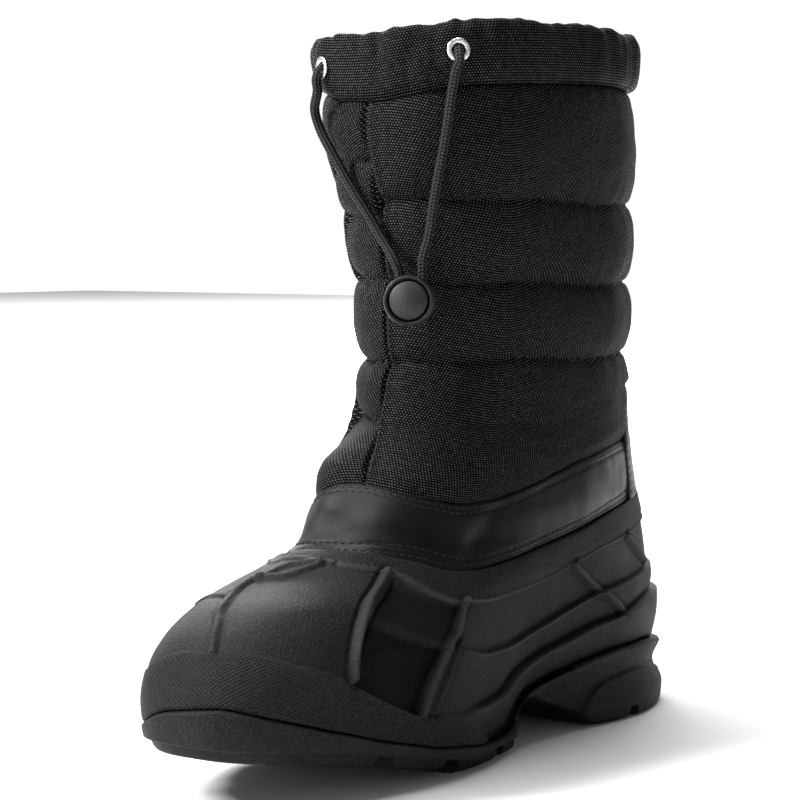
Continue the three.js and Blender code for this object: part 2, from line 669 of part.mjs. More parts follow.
function buildBoot() {
  const group = new THREE.Group();
  group.name = 'snow_boot';
  addPiece(group, 'outsole', makeOutsole(), 0x17181a, 0.8, 0);
  addPiece(group, 'insole', makeInsole(), 0x2a2a2c, 0.95, 0);
  addPiece(group, 'upper_shell', makeShell(), 0x1a1b1d, 0.75, 0);
  addPiece(group, 'upper_band', makeBand(), 0x141414, 0.45, 0);
  addPiece(group, 'upper_shaft', makeShaft(), 0x161719, 0.9, 0);
  addPiece(group, 'upper_collar', makeCollar(), 0x161719, 0.9, 0);
  addPiece(group, 'back_stay', makeStay(), 0x131313, 0.5, 0);
  for (const eyelet of EYELETS) addPiece(group, eyelet.name, makeEyelet(eyelet), 0xe8e8e6, 0.25, 1);
  addPiece(group, 'drawcord_outer', makeCord(EYELETS[0], CORD_OUTER, 1), 0x141414, 0.9, 0);
  addPiece(group, 'drawcord_inner', makeCord(EYELETS[1], CORD_INNER, -1), 0x141414, 0.9, 0);
  addPiece(group, 'cord_lock', makeLock(), 0x1c1d1f, 0.55, 0);
  addPiece(group, 'cord_lock_button', makeButton(), 0x2b2c2e, 0.5, 0);

  const loose = ['drawcord_outer', 'drawcord_inner', 'cord_lock', 'cord_lock_button'];
  const box = new THREE.Box3();
  for (const mesh of group.children) {
    if (!loose.includes(mesh.name)) box.expandByObject(mesh);
  }
  const middle = box.getCenter(new THREE.Vector3());
  for (const mesh of group.children) mesh.geometry.translate(-middle.x, -middle.y, -box.min.z);
  return group;
}

export default buildBoot();
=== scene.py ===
"""Winter boot for the left foot: rubber foot, leather band, quilted nylon shaft and drawcord collar.

Sizes are in millimetres until a mesh is made, +Z up, floor at 0, toe toward -Y, outer side +X.
"turn" is the angle round the boot: 0 at the heel's back, 90 outer side, 180 toe, 270 inner side.
"out" is the distance outside (+) or inside (-) of the boot's form.
"""

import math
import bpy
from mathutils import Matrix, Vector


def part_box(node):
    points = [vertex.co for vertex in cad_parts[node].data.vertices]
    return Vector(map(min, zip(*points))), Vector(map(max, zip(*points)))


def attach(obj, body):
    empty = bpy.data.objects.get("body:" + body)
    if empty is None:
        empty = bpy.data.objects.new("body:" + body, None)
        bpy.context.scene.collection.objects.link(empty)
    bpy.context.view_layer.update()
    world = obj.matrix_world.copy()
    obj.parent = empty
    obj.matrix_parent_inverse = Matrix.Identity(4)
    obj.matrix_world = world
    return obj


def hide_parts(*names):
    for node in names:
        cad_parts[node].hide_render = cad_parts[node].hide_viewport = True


bl_info = {
    "name": "Winter boot",
    "version": (1, 0, 0),
    "blender": (4, 5, 0),
    "location": "3D View > Sidebar > Boot",
    "description": "Makes a padded winter boot piece by piece on its packed frame",
    "category": "Object",
}

import bmesh
import bpy
import numpy as np
from mathutils import Matrix, Vector, noise

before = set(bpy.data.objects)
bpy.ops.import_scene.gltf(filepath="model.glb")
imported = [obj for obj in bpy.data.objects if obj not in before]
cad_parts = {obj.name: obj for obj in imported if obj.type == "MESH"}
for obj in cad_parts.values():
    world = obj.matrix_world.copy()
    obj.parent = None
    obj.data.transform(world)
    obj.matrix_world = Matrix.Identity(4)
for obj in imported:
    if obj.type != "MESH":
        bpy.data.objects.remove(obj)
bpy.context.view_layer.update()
MM = 0.001
HEEL_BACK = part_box("upper_shell")[1].y / MM

# ---------------------------------------------------------------- the boot's form

FORM_COLUMNS = ("z", "back", "front", "heel", "waist", "ball_out", "ball_in", "back_round", "toe_round")
FORM = [
    (0, 3, 288, 48, 36, 51, 48, 0.8, 0.72),
    (12, 1, 304, 49, 39, 56, 52, 0.8, 0.72),
    (25, 0, 314, 49, 42, 58, 54, 0.8, 0.72),
    (38, 0, 316, 49, 43, 57, 54, 0.8, 0.72),
    (50, 2, 313, 48.5, 43, 55, 52.5, 0.82, 0.72),
    (60, 4, 305, 47.5, 43, 52, 49.5, 0.84, 0.72),
    (70, 7, 288, 46, 44, 48, 45, 0.86, 0.74),
    (80, 11, 254, 45, 44, 44, 41.5, 0.88, 0.76),
    (90, 14, 231, 44, 44, 42, 40.5, 0.9, 0.82),
    (100, 17, 219, 43, 45, 42, 42, 0.92, 0.88),
    (115, 20, 204, 41.5, 44.5, 44, 44, 0.96, 0.94),
    (135, 23.5, 187.5, 41, 43, 43, 43, 1, 1),
    (165, 27, 182.5, 44, 46.5, 46.5, 46, 1, 1),
    (200, 29, 183.5, 47.5, 50.5, 50.5, 50, 1, 0.97),
    (250, 32, 194, 54, 57, 57, 57, 1, 0.9),
    (310, 35, 205, 60, 63, 63, 63, 1, 0.84),
]

# Parting line between sole and rubber foot, height by turn.
SOLE_LINE = [
    (0, 27.5), (12, 27.5), (24, 28), (36, 30), (47, 31.3), (57, 31.4), (65, 30), (72, 27.8), (77, 26),
    (81, 24.5), (84.5, 22.5), (87.5, 17.8), (90, 13), (92.5, 10), (95.5, 9), (100, 9), (105, 10),
    (110, 12), (116, 14), (122, 18), (128, 21.5), (134, 25.5), (140, 28.8), (146, 32), (152, 34.7),
    (158, 37), (163, 38.5), (168, 39.3), (172, 39), (176, 38.5), (180, 37.3), (184, 35.6), (188, 33.6),
    (192, 31.6), (197, 29.3), (202, 27.3), (208, 25), (214, 22.8), (220, 20.5), (226, 18), (232, 15.8),
    (238, 13.5), (244, 12), (250, 10.8), (255, 9.8), (260, 9), (264.5, 9), (267.5, 10), (270, 13),
    (272.5, 17.8), (275.5, 22.5), (279, 24.5), (283, 26), (288, 27.8), (295, 30), (303, 31.4),
    (313, 31.3), (324, 30), (336, 28), (348, 27.5), (360, 27.5),
]
# Lower edge of the leather band, which is the top of the rubber rim, height by turn.
BAND_FOOT = [
    (0, 97), (40, 95.5), (55, 93), (70, 90), (83, 85.5), (93, 82), (101, 79), (110, 77.2), (119, 78),
    (134, 82.5), (148, 85.5), (158, 86.9), (168, 87.6), (176, 87.9), (184, 87.6), (194, 86.5), (210, 84.5),
    (226, 81.5), (241, 78), (250, 77.2), (259, 79), (267, 82), (277, 85.5), (290, 90), (305, 93),
    (320, 95.5), (360, 97),
]
# Upper edge of the leather band, height by turn.
BAND_HEAD = [
    (0, 122), (56, 120.5), (85, 116.5), (97, 112), (107, 107), (117, 103.8), (127, 103.2), (138, 105.5),
    (154, 109), (164, 111), (175, 112), (184, 110.9), (194, 107.6), (208, 103.4), (222, 102.4),
    (234, 103.2), (243, 103.8), (253, 107), (263, 112), (275, 116.5), (304, 120.5), (360, 122),
]
# Seam under the collar's casing, and the gathered top edge, height by turn.
CASING = [
    (0, 271.5), (84, 273), (119, 272), (149, 270), (165, 267), (180, 264.8), (195, 265.5), (208, 268),
    (240, 271), (270, 272), (360, 271.5),
]
COLLAR_RIM = [
    (0, 294.5), (40, 296), (87, 296.6), (115, 296.4), (144, 296), (160, 294.3), (177, 292.3), (205, 291.3),
    (240, 292.5), (300, 293), (360, 293),
]
# Underside of the sole, height by distance forward of the heel: arch and toe spring.
TREAD_LINE = [
    (0, 2), (5, 0), (82, 0), (92, 2), (102, 8), (120, 15), (134, 19.6), (141, 18.5), (148, 11), (152, 3),
    (155, 0), (203, 0), (213, 2.2), (232, 6.5), (251, 11), (270, 14.5), (287, 17), (304, 18.8), (320, 22),
]
# Top of the sole inside the boot, height by distance forward.
BED_LINE = [
    (0, 25), (95, 25), (120, 24.6), (137, 24), (150, 20.5), (160, 15.5), (170, 11.8), (182, 9.8),
    (205, 9.8), (225, 11.5), (250, 15), (280, 19.5), (300, 22.5), (320, 26),
]


def smooth_table(rows):
    """A smooth curve through the rows of a table that never overshoots between them."""
    xs, ys = np.array(rows, float).T
    step = np.diff(xs)
    slope = np.diff(ys) / step
    tangent = np.zeros_like(xs)
    tangent[0], tangent[-1] = slope[0], slope[-1]
    for i in range(1, len(xs) - 1):
        if slope[i - 1] * slope[i] > 0:
            a = 2 * step[i] + step[i - 1]
            b = step[i] + 2 * step[i - 1]
            tangent[i] = (a + b) / (a / slope[i - 1] + b / slope[i])

    def curve(x):
        at = np.clip(x, xs[0], xs[-1])
        i = np.clip(np.searchsorted(xs, at, side="right") - 1, 0, len(xs) - 2)
        h = step[i]
        s = (at - xs[i]) / h
        s2, s3 = s * s, s * s * s
        return (
            ys[i] * (2 * s3 - 3 * s2 + 1)
            + tangent[i] * h * (s3 - 2 * s2 + s)
            + ys[i + 1] * (3 * s2 - 2 * s3)
            + tangent[i + 1] * h * (s3 - s2)
        )

    return curve


SECTION = {
    name: smooth_table([(row[0], row[k]) for row in FORM])
    for k, name in enumerate(FORM_COLUMNS)
    if k
}
sole_line = smooth_table(SOLE_LINE)
band_foot = smooth_table(BAND_FOOT)
band_head = smooth_table(BAND_HEAD)
casing_seam = smooth_table(CASING)
collar_rim = smooth_table(COLLAR_RIM)
tread_line = smooth_table(TREAD_LINE)
bed_line = smooth_table(BED_LINE)


def mix(a, b, t):
    return a + (b - a) * t


def ease(t):
    """Rises smoothly from 0 to 1 as t does."""
    s = np.clip(t, 0, 1)
    return s * s * (3 - 2 * s)


def hump(distance, width):
    """1 at distance 0, falling to 0 over about the width."""
    return np.exp(-((distance / width) ** 2))


def lengths_along(points):
    """How far along a run of points each one lies."""
    return np.concatenate([[0], np.cumsum(np.linalg.norm(np.diff(points, axis=0), axis=1))])


def form(turn, z):
    """Points on the boot's outside, in an array with x, y, z last."""
    turn, z = np.broadcast_arrays(np.asarray(turn, float), np.asarray(z, float))
    angle = np.radians(turn)
    t = (1 - np.cos(angle)) / 2
    at = {name: curve(z) for name, curve in SECTION.items()}
    forward = mix(at["back"], at["front"], t)
    side = np.sin(angle)
    roundness = mix(at["back_round"], at["toe_round"], t)
    ball = np.where(side > 0, at["ball_out"], at["ball_in"])
    rear = mix(at["heel"], at["waist"], ease((t - 0.15) / 0.27))
    front = mix(at["waist"], ball, ease((t - 0.42) / 0.28))
    width = np.where(t < 0.42, rear, front) * np.abs(side) ** roundness
    swing = 3 * np.clip((forward - 150) / 155, 0, 1) ** 1.5
    low = np.clip(1 - z / 95, 0, 1)
    heel = 2.5 * (1 - ease(forward / 120)) * ease(2 * low)
    return np.stack([np.sign(side) * width + swing + heel, HEEL_BACK - forward, z], -1)


def unit(vectors):
    return vectors / np.maximum(np.linalg.norm(vectors, axis=-1, keepdims=True), 1e-9)


def outward(turn, z, level=False):
    """The form's outward normal, made level if asked."""
    across = form(turn + 0.5, z) - form(turn - 0.5, z)
    up = form(turn, z + 0.5) - form(turn, z - 0.5)
    normal = np.cross(up, across)
    if level:
        normal[..., 2] = 0
    return unit(normal)


def off_form(turn, z, out, level=False):
    """Points at a distance from the boot's outside, along its normal or only sideways."""
    turn, z, out = np.broadcast_arrays(turn, z, out)
    return form(turn, z) + outward(turn, z, level) * out[..., None]


def forward_of(points):
    """Distance of points forward of the heel's back."""
    return HEEL_BACK - points[..., 1]


def folded(turn):
    """The inner side's turns counted like the outer side's, 0 at the heel to 180 at the toe."""
    return np.where(turn > 180, 360 - turn, turn)


def from_back(turn):
    """Degrees round from the heel's back, on either side."""
    return np.abs((turn + 180) % 360 - 180)


def mirrored(line):
    """A line of turns and heights carried over to the boot's other side."""
    return [(360 - turn, z) for turn, z in line]


def turn_grid(turns, z):
    """The turns repeated for every height, to go with an array turns x heights."""
    return np.repeat(turns[:, None], z.shape[1], 1)


def even_turns(count, z):
    """Turns the whole way round, evenly spaced along the boot at height z and alike on both sides."""
    fine = np.linspace(0, 180, 3601)
    points = form(fine, np.full_like(fine, z))
    run = lengths_along(points)
    half = np.interp(np.linspace(0, run[-1], count // 2 + 1), run, fine)
    return np.concatenate([half, 360 - half[-2::-1]])


def even_heights(turns, low, high, count):
    """For every turn, heights from low to high evenly spaced along the surface: an array turns x count."""
    share = np.linspace(0, 1, 61)
    z = mix(low[:, None], high[:, None], share)
    points = form(turn_grid(turns, z), z)
    steps = np.linalg.norm(np.diff(points, axis=1), axis=2)
    run = np.concatenate([np.zeros((len(turns), 1)), np.cumsum(steps, 1)], 1)
    goals = np.linspace(0, 1, count)
    return np.stack([np.interp(goals * run[k, -1], run[k], z[k]) for k in range(len(turns))])


def fuzz(points, scale, seed=0.0):
    """Smooth noise from about -1 to 1 at points, with features of the given size along x, y and z."""
    size = np.broadcast_to(np.asarray(scale, float), (3,))
    flat = (points / size).reshape(-1, 3) + seed
    values = np.fromiter((noise.noise(Vector(p)) for p in flat.tolist()), float, len(flat))
    return values.reshape(points.shape[:-1])


def line_on_form(pairs):
    """A run of close points over the form through pairs of turn and height."""
    pairs = np.array(pairs, float)
    along = np.concatenate([[0], np.cumsum(np.hypot(*np.diff(pairs, axis=0).T))])
    fine = np.linspace(0, along[-1], max(int(along[-1] * 3), 8))
    turn = smooth_table(list(zip(along, pairs[:, 0])))(fine)
    z = smooth_table(list(zip(along, pairs[:, 1])))(fine)
    return form(turn, z)


# A line's ridge and crease end well inside this distance.
LINE_REACH = 14.0
FAR_AWAY = 1e9
POINTS_AT_ONCE = 20000


def distance_to(line, points):
    """Distance from each point to a run of close points, or far away where it is out of reach."""
    flat = points.reshape(-1, 3)
    near = np.full(len(flat), FAR_AWAY)
    inside = np.all((flat > line.min(0) - LINE_REACH) & (flat < line.max(0) + LINE_REACH), axis=1)
    picked = np.nonzero(inside)[0]
    for start in range(0, len(picked), POINTS_AT_ONCE):
        part = picked[start : start + POINTS_AT_ONCE]
        near[part] = np.linalg.norm(flat[part][:, None] - line[None], axis=2).min(1)
    return near.reshape(points.shape[:-1])


# ---------------------------------------------------------------- sizes and colours a user would change


def length_size(name, text, default):
    return bpy.props.FloatProperty(name=name, description=text, default=default, min=0, unit="LENGTH")


def finish_colour(name, text, default):
    return bpy.props.FloatVectorProperty(
        name=name, description=text, default=default, subtype="COLOR", size=3, min=0, max=1
    )


class BootSizes(bpy.types.PropertyGroup):
    quilt_puff: length_size("Quilt puff", "How far a channel stands proud", 0.0017)
    quilt_sink: length_size("Quilt sink", "How deep a quilt seam lies", 0.0050)
    gather_depth: length_size("Gather depth", "Depth of the collar's gathers", 0.0021)
    stitch_pitch: length_size("Stitch pitch", "Distance from stitch to stitch", 0.0033)
    thread_width: length_size("Thread width", "Width of the sewing thread", 0.0007)
    weave_pitch: length_size("Weave pitch", "Distance between floats of the weave", 0.00125)
    cord_width: length_size("Cord width", "Diameter of the drawcord", 0.004)
    rib_height: length_size("Rib height", "How far the rubber ribs stand out", 0.0026)


class BootColours(bpy.types.PropertyGroup):
    rubber: finish_colour("Rubber", "Moulded rubber", (0.0098, 0.0098, 0.0100))
    leather: finish_colour("Leather", "Band and back stay", (0.003, 0.003, 0.0031))
    nylon: finish_colour("Nylon", "Woven shaft", (0.0007, 0.0007, 0.0008))
    # The floats' colour is a painted highlight, far lighter than the nylon.
    nylon_float_highlight: finish_colour("Nylon floats", "Raised yarns of the weave", (0.205, 0.2055, 0.21))
    thread: finish_colour("Thread", "Sewing thread", (0.012, 0.012, 0.012))
    cord: finish_colour("Cord", "Braided drawcord", (0.012, 0.012, 0.0123))
    metal: finish_colour("Eyelet metal", "Pressed eyelets", (0.9, 0.9, 0.89))
    lock: finish_colour("Lock", "Housing of the cord lock", (0.010, 0.010, 0.0105))
    button: finish_colour("Button", "Push button of the cord lock", (0.022, 0.0222, 0.0232))
    lining: finish_colour("Lining", "Fleece inside the boot", (0.012, 0.012, 0.0125))
    floor: finish_colour("Floor", "Pale studio floor", (0.74, 0.74, 0.74))


def sizes():
    return bpy.context.scene.boot_sizes


def colours():
    return bpy.context.scene.boot_colours


# ---------------------------------------------------------------- making meshes


# Edges of a turned piece sharper than this many degrees stay crisp.
SHARP_EDGE = 35


def finish_mesh(bm, name):
    """Merges doubles, turns the faces outward and makes the object."""
    bmesh.ops.remove_doubles(bm, verts=bm.verts, dist=2e-6)
    bmesh.ops.dissolve_degenerate(bm, dist=1e-7, edges=bm.edges)
    bmesh.ops.recalc_face_normals(bm, faces=bm.faces)
    for face in bm.faces:
        face.smooth = True
    mesh = bpy.data.meshes.new(name)
    bm.to_mesh(mesh)
    bm.free()
    piece = bpy.data.objects.new(name, mesh)
    bpy.context.scene.collection.objects.link(piece)
    return piece


def lengths_over(base):
    """Distances over a surface in metres: round the boot from the toe side, and up it."""
    around = np.linalg.norm(np.diff(base, axis=0), axis=2)
    along = np.linalg.norm(np.diff(base, axis=1), axis=2)
    u = np.concatenate([np.zeros((1, base.shape[1])), np.cumsum(around, 0)])
    v = np.concatenate([np.zeros((base.shape[0], 1)), np.cumsum(along, 1)], 1)
    return np.stack([u - u[len(u) // 2], v], -1) * MM


def skin(name, points, base=None, **marks):
    """A sheet laid over an array of points, columns x rows, whose coincident edges are joined."""
    columns, rows = points.shape[:2]
    bm = bmesh.new()
    bmesh.ops.create_grid(bm, x_segments=columns - 1, y_segments=rows - 1, size=0.5)
    mesh = bpy.data.meshes.new(name + "_sheet")
    bm.to_mesh(mesh)
    bm.free()
    flat = np.empty(len(mesh.vertices) * 3)
    mesh.vertices.foreach_get("co", flat)
    share = flat.reshape(-1, 3) + 0.5
    i = np.rint(share[:, 0] * (columns - 1)).astype(int)
    j = np.rint(share[:, 1] * (rows - 1)).astype(int)
    mesh.vertices.foreach_set("co", (points[i, j] * MM).ravel())
    uv = lengths_over(points if base is None else base)[i, j]
    corner = np.empty(len(mesh.loops), int)
    mesh.loops.foreach_get("vertex_index", corner)
    mesh.uv_layers.new(name="UVMap").data.foreach_set("uv", uv[corner].ravel())
    for mark, values in marks.items():
        layer = mesh.attributes.new(mark, "FLOAT", "POINT")
        layer.data.foreach_set("value", values[i, j].astype(np.float32))
    bm = bmesh.new()
    bm.from_mesh(mesh)
    bpy.data.meshes.remove(mesh)
    return finish_mesh(bm, name)


def smooth_path(points, step=1.0):
    """Close, evenly spaced points on a smooth curve through a few points."""
    points = np.array(points, float)
    along = np.concatenate([[0], np.cumsum(np.sqrt(np.linalg.norm(np.diff(points, axis=0), axis=1)))])
    fine = np.linspace(0, along[-1], 800)
    last = len(points) - 1
    padded = np.vstack([2 * points[0] - points[1], points, 2 * points[last] - points[last - 1]])
    knots = np.concatenate([[along[0] - along[1]], along, [2 * along[-1] - along[-2]]])
    out = []
    for t in fine:
        k = min(max(int(np.searchsorted(along, t, side="right")) - 1, 0), last - 1)
        p, q = padded[k : k + 4], knots[k : k + 4]
        a = [mix(p[m], p[m + 1], (t - q[m]) / (q[m + 1] - q[m])) for m in range(3)]
        b = [mix(a[m], a[m + 1], (t - q[m]) / (q[m + 2] - q[m])) for m in range(2)]
        out.append(mix(b[0], b[1], (t - q[1]) / (q[2] - q[1])))
    out = np.array(out)
    run = lengths_along(out)
    goals = np.linspace(0, run[-1], max(int(run[-1] / step), 8) + 1)
    return np.stack([np.interp(goals, run, out[:, k]) for k in range(3)], -1)


def tube(name, path, radius, sides):
    """A closed round tube along a path, with its UV in metres round and along."""
    tangent = unit(np.gradient(path, axis=0))
    side = unit(np.cross(tangent[0], (0.31, 0.2, 0.93)))
    sides_at = []
    for direction in tangent:
        side = unit(side - direction * np.dot(side, direction))
        sides_at.append(side)
    sides_at = np.array(sides_at)
    ups = np.cross(tangent, sides_at)
    angle = np.linspace(0, 2 * math.pi, sides + 1)[:, None, None]
    ring = path + radius * (np.cos(angle) * sides_at + np.sin(angle) * ups)
    ends = np.repeat(path[None, [0, -1]], sides + 1, 0)
    return skin(name, np.concatenate([ends[:, :1], ring, ends[:, 1:]], 1))


def turned(name, profile, place, steps):
    """A piece turned on the lathe: the profile is pairs of radius and height, spun about +Z."""
    bm = bmesh.new()
    verts = [bm.verts.new((radius * MM, 0, height * MM)) for radius, height in profile]
    edges = [bm.edges.new(pair) for pair in zip(verts, verts[1:])]
    bmesh.ops.spin(
        bm,
        geom=verts + edges,
        cent=(0, 0, 0),
        axis=(0, 0, 1),
        angle=2 * math.pi,
        steps=steps,
        use_merge=True,
    )
    bmesh.ops.transform(bm, matrix=place, verts=bm.verts)
    piece = finish_mesh(bm, name)
    piece.data.set_sharp_from_angle(angle=math.radians(SHARP_EDGE))
    return piece


def standing(place, direction):
    """The matrix that puts +Z along a direction at a place in millimetres."""
    z = Vector(direction).normalized()
    x = Vector((0, 0, 1)).cross(z).normalized()
    y = z.cross(x)
    matrix = Matrix((x, y, z)).transposed().to_4x4()
    matrix.translation = Vector(place) * MM
    return matrix


def sew(bm, turn, z, out, gap=None, long=None):
    """Lays stitches into bm along a run of turns and heights over the form."""
    points = off_form(turn, z, out)
    normals = outward(turn, z)
    run = lengths_along(points)
    pitch = gap or sizes().stitch_pitch / MM
    half = (long or pitch * 0.78) / 2
    width = sizes().thread_width / MM / 2
    count = int(run[-1] / pitch)
    for k in range(count):
        at = (k + 0.5) * run[-1] / count
        centre = np.array([np.interp(at, run, points[:, m]) for m in range(3)])
        ahead = np.array([np.interp(at + 0.6, run, points[:, m]) for m in range(3)])
        normal = unit(np.array([np.interp(at, run, normals[:, m]) for m in range(3)]))
        along = unit(ahead - centre) if at + 0.6 < run[-1] else unit(centre - points[-2])
        side = unit(np.cross(normal, along))
        axes = np.stack([along * half, side * width, np.cross(along, side) * width * 0.9], 1) * MM
        matrix = Matrix(axes.tolist()).to_4x4()
        matrix.translation = Vector(centre * MM)
        bmesh.ops.create_uvsphere(bm, u_segments=6, v_segments=5, radius=1, matrix=matrix)


def finished(piece, material, body, slot, *stands_for):
    """Gives a piece its material and body, and hides the CAD nodes it stands for; the slot is not used."""
    piece.data.materials.clear()
    piece.data.materials.append(material)
    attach(piece, body)
    if stands_for:
        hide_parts(*stands_for)
    return piece


# ---------------------------------------------------------------- finishes


class Finish:
    """One material, put together from shader nodes."""

    def __init__(self, name, colour, roughness, metallic=0.0, sheen=0.0, specular=0.5):
        self.material = bpy.data.materials.new(name)
        self.material.use_nodes = True
        self.tree = self.material.node_tree
        self.shader = self.tree.nodes["Principled BSDF"]
        self.colour = tuple(colour)
        fixed = {
            "Base Color": (*self.colour, 1),
            "Roughness": roughness,
            "Metallic": metallic,
            "Sheen Weight": sheen,
            "Sheen Roughness": 0.45,
            "Specular IOR Level": specular,
        }
        for socket, value in fixed.items():
            self.shader.inputs[socket].default_value = value

    def node(self, kind, inputs, output=0, **settings):
        made = self.tree.nodes.new(kind)
        for key, value in settings.items():
            setattr(made, key, value)
        for key, value in inputs.items():
            if isinstance(value, bpy.types.NodeSocket):
                self.tree.links.new(value, made.inputs[key])
            else:
                made.inputs[key].default_value = value
        return made.outputs[output]

    def place(self, source="Object", scale=(1, 1, 1)):
        coordinates = self.node("ShaderNodeTexCoord", {}, source)
        return self.node("ShaderNodeMapping", {"Vector": coordinates, "Scale": scale})

    def noise(self, per_metre, detail=2.0, source="Object", stretch=(1, 1, 1)):
        vector = self.place(source, stretch)
        return self.node(
            "ShaderNodeTexNoise", {"Vector": vector, "Scale": per_metre, "Detail": detail}
        )

    def cells(self, per_metre):
        return self.node("ShaderNodeTexVoronoi", {"Vector": self.place(), "Scale": per_metre})

    def stripes(self, pitch, angle=0.0, source="UV"):
        """A sine across stripes of a pitch in metres, turned by an angle in degrees."""
        waves = 2 * math.pi / pitch
        direction = (waves * math.cos(math.radians(angle)), waves * math.sin(math.radians(angle)), 0)
        along = self.node(
            "ShaderNodeVectorMath", {0: self.place(source), 1: direction}, "Value", operation="DOT_PRODUCT"
        )
        return self.math("SINE", along)

    def math(self, operation, a, b=0.0):
        return self.node("ShaderNodeMath", {0: a, 1: b}, operation=operation)

    def span(self, value, low, high, to_low=0.0, to_high=1.0):
        inputs = {"Value": value, "From Min": low, "From Max": high, "To Min": to_low, "To Max": to_high}
        return self.node("ShaderNodeMapRange", inputs)

    def mark(self, name):
        return self.node("ShaderNodeAttribute", {}, "Fac", attribute_name=name)

    def blend(self, share, first, second):
        """Colours mixed by a share; a plain colour may be given for either."""
        inputs = {0: share}
        for socket, colour in ((6, first), (7, second)):
            inputs[socket] = colour if isinstance(colour, bpy.types.NodeSocket) else (*colour, 1)
        return self.node("ShaderNodeMix", inputs, 2, data_type="RGBA")

    def shade(self, low, high):
        """The finish's own colour, darker and lighter."""
        return [tuple(min(c * k, 1) for c in self.colour) for k in (low, high)]

    def bump(self, height, depth, below=None, strength=1.0):
        inputs = {"Height": height, "Distance": depth, "Strength": strength}
        if below is not None:
            inputs["Normal"] = below
        return self.node("ShaderNodeBump", inputs)

    def set(self, **sockets):
        for name, value in sockets.items():
            self.tree.links.new(value, self.shader.inputs[name.replace("_", " ")])
        return self.material


HATCH_PITCH = 0.00125
HATCH_SLANT = 52


def moulded_rubber(name, hatched=False):
    """Matt rubber with a fine grain, lighter along sharp edges as wear and painted highlight, and patterned
    where it is hatched; the hatched kind also has painted highlights on its hatch ridges, lips and rib
    crests, and painted shade in its sunk panels and above its lips.
    """
    finish = Finish(name, colours().rubber, 0.56, specular=0.11)
    grain = finish.noise(1100, 3)
    patches = finish.noise(38, 2)
    edge = finish.node("ShaderNodeNewGeometry", {}, "Pointiness")
    # Sharp edges, found by pointiness, are painted lighter: partly wear, partly a painted highlight along
    # the edges.
    edge_wear_and_highlight = finish.span(edge, 0.505, 0.56, 0, 0.5)
    dark, light = finish.shade(0.72, 1.3)
    colour = finish.blend(finish.span(patches, 0.3, 0.7), dark, light)
    colour = finish.blend(finish.span(grain, 0.48, 0.7, 0, 0.8), colour, finish.shade(1, 3.2)[1])
    colour = finish.blend(edge_wear_and_highlight, colour, finish.shade(1, 2.6)[1])
    roughness = finish.span(patches, 0.3, 0.7, 0.52, 0.64)
    normal = finish.bump(grain, 0.0007)
    if hatched:
        slants = [finish.stripes(HATCH_PITCH, slant) for slant in (HATCH_SLANT, -HATCH_SLANT)]
        lines = finish.math("MAXIMUM", *slants)
        lines = finish.math("MULTIPLY", lines, finish.mark("hatch"))
        normal = finish.bump(lines, 0.0004, normal)
        # Painted highlight: the hatch ridges are painted lighter than the rubber.
        colour = finish.blend(finish.math("MULTIPLY", lines, 0.45), colour, finish.shade(1, 3.2)[1])
        # Painted highlight: lips and rib crests painted up to five times lighter.
        colour = finish.blend(finish.mark("lip"), colour, finish.shade(1, 5)[1])
        # Painted shade: the sunk panels and the roots above the lips are darkened to a twentieth of the
        # rubber.
        colour = finish.blend(finish.mark("panel"), colour, finish.shade(0.05, 1)[0])
    return finish.set(Base_Color=colour, Roughness=roughness, Normal=normal)


def waxed_leather():
    """Smooth leather with a faint grain and a soft waxed sheen."""
    finish = Finish("waxed leather", colours().leather, 0.42, specular=0.24)
    pores = finish.cells(1500)
    pull = finish.noise(70, 1.5, stretch=(1, 1, 1.8))
    fine = finish.noise(2600, 2)
    dark, light = finish.shade(0.75, 1.5)
    colour = finish.blend(finish.span(pull, 0.35, 0.7), dark, light)
    roughness = finish.span(pull, 0.3, 0.75, 0.37, 0.52)
    normal = finish.bump(pores, 0.00006)
    normal = finish.bump(fine, 0.00005, normal)
    normal = finish.bump(pull, 0.0005, normal, 0.5)
    return finish.set(Base_Color=colour, Roughness=roughness, Normal=normal)


def woven_nylon():
    """Coarse woven nylon: crosswise ribs with staggered floats over a dark ground, the floats painted
    bright as a painted highlight on the yarn.
    """
    finish = Finish("oxford nylon", colours().nylon, 0.6, specular=0.03)
    pitch = sizes().weave_pitch
    up = finish.stripes(pitch * 1.7, 90)
    crossing = finish.math("MULTIPLY", finish.stripes(pitch, 0), up)
    floats = finish.math("MULTIPLY", finish.math("MAXIMUM", crossing, 0.0), 0.5)
    ribs = finish.math("MULTIPLY", finish.math("ABSOLUTE", up), 0.5)
    height = finish.math("ADD", floats, ribs)
    uneven = finish.noise(420, 2, "UV", (1, 1.6, 1))
    fading = finish.noise(28, 2)
    # Painted highlight: the raised floats are painted up to the bright float colour over the dark ground.
    painted_shine = finish.math("POWER", height, 4.0)
    painted_shine = finish.math("MULTIPLY", painted_shine, finish.span(uneven, 0.3, 0.7, 0.35, 1.2))
    painted_shine = finish.math("MULTIPLY", painted_shine, finish.span(fading, 0.3, 0.7, 0.7, 1.0))
    colour = finish.blend(painted_shine, finish.shade(0.9, 1)[0], tuple(colours().nylon_float_highlight))
    roughness = finish.span(height, 0, 1, 0.7, 0.42)
    normal = finish.bump(height, 0.0003)
    return finish.set(Base_Color=colour, Roughness=roughness, Normal=normal)


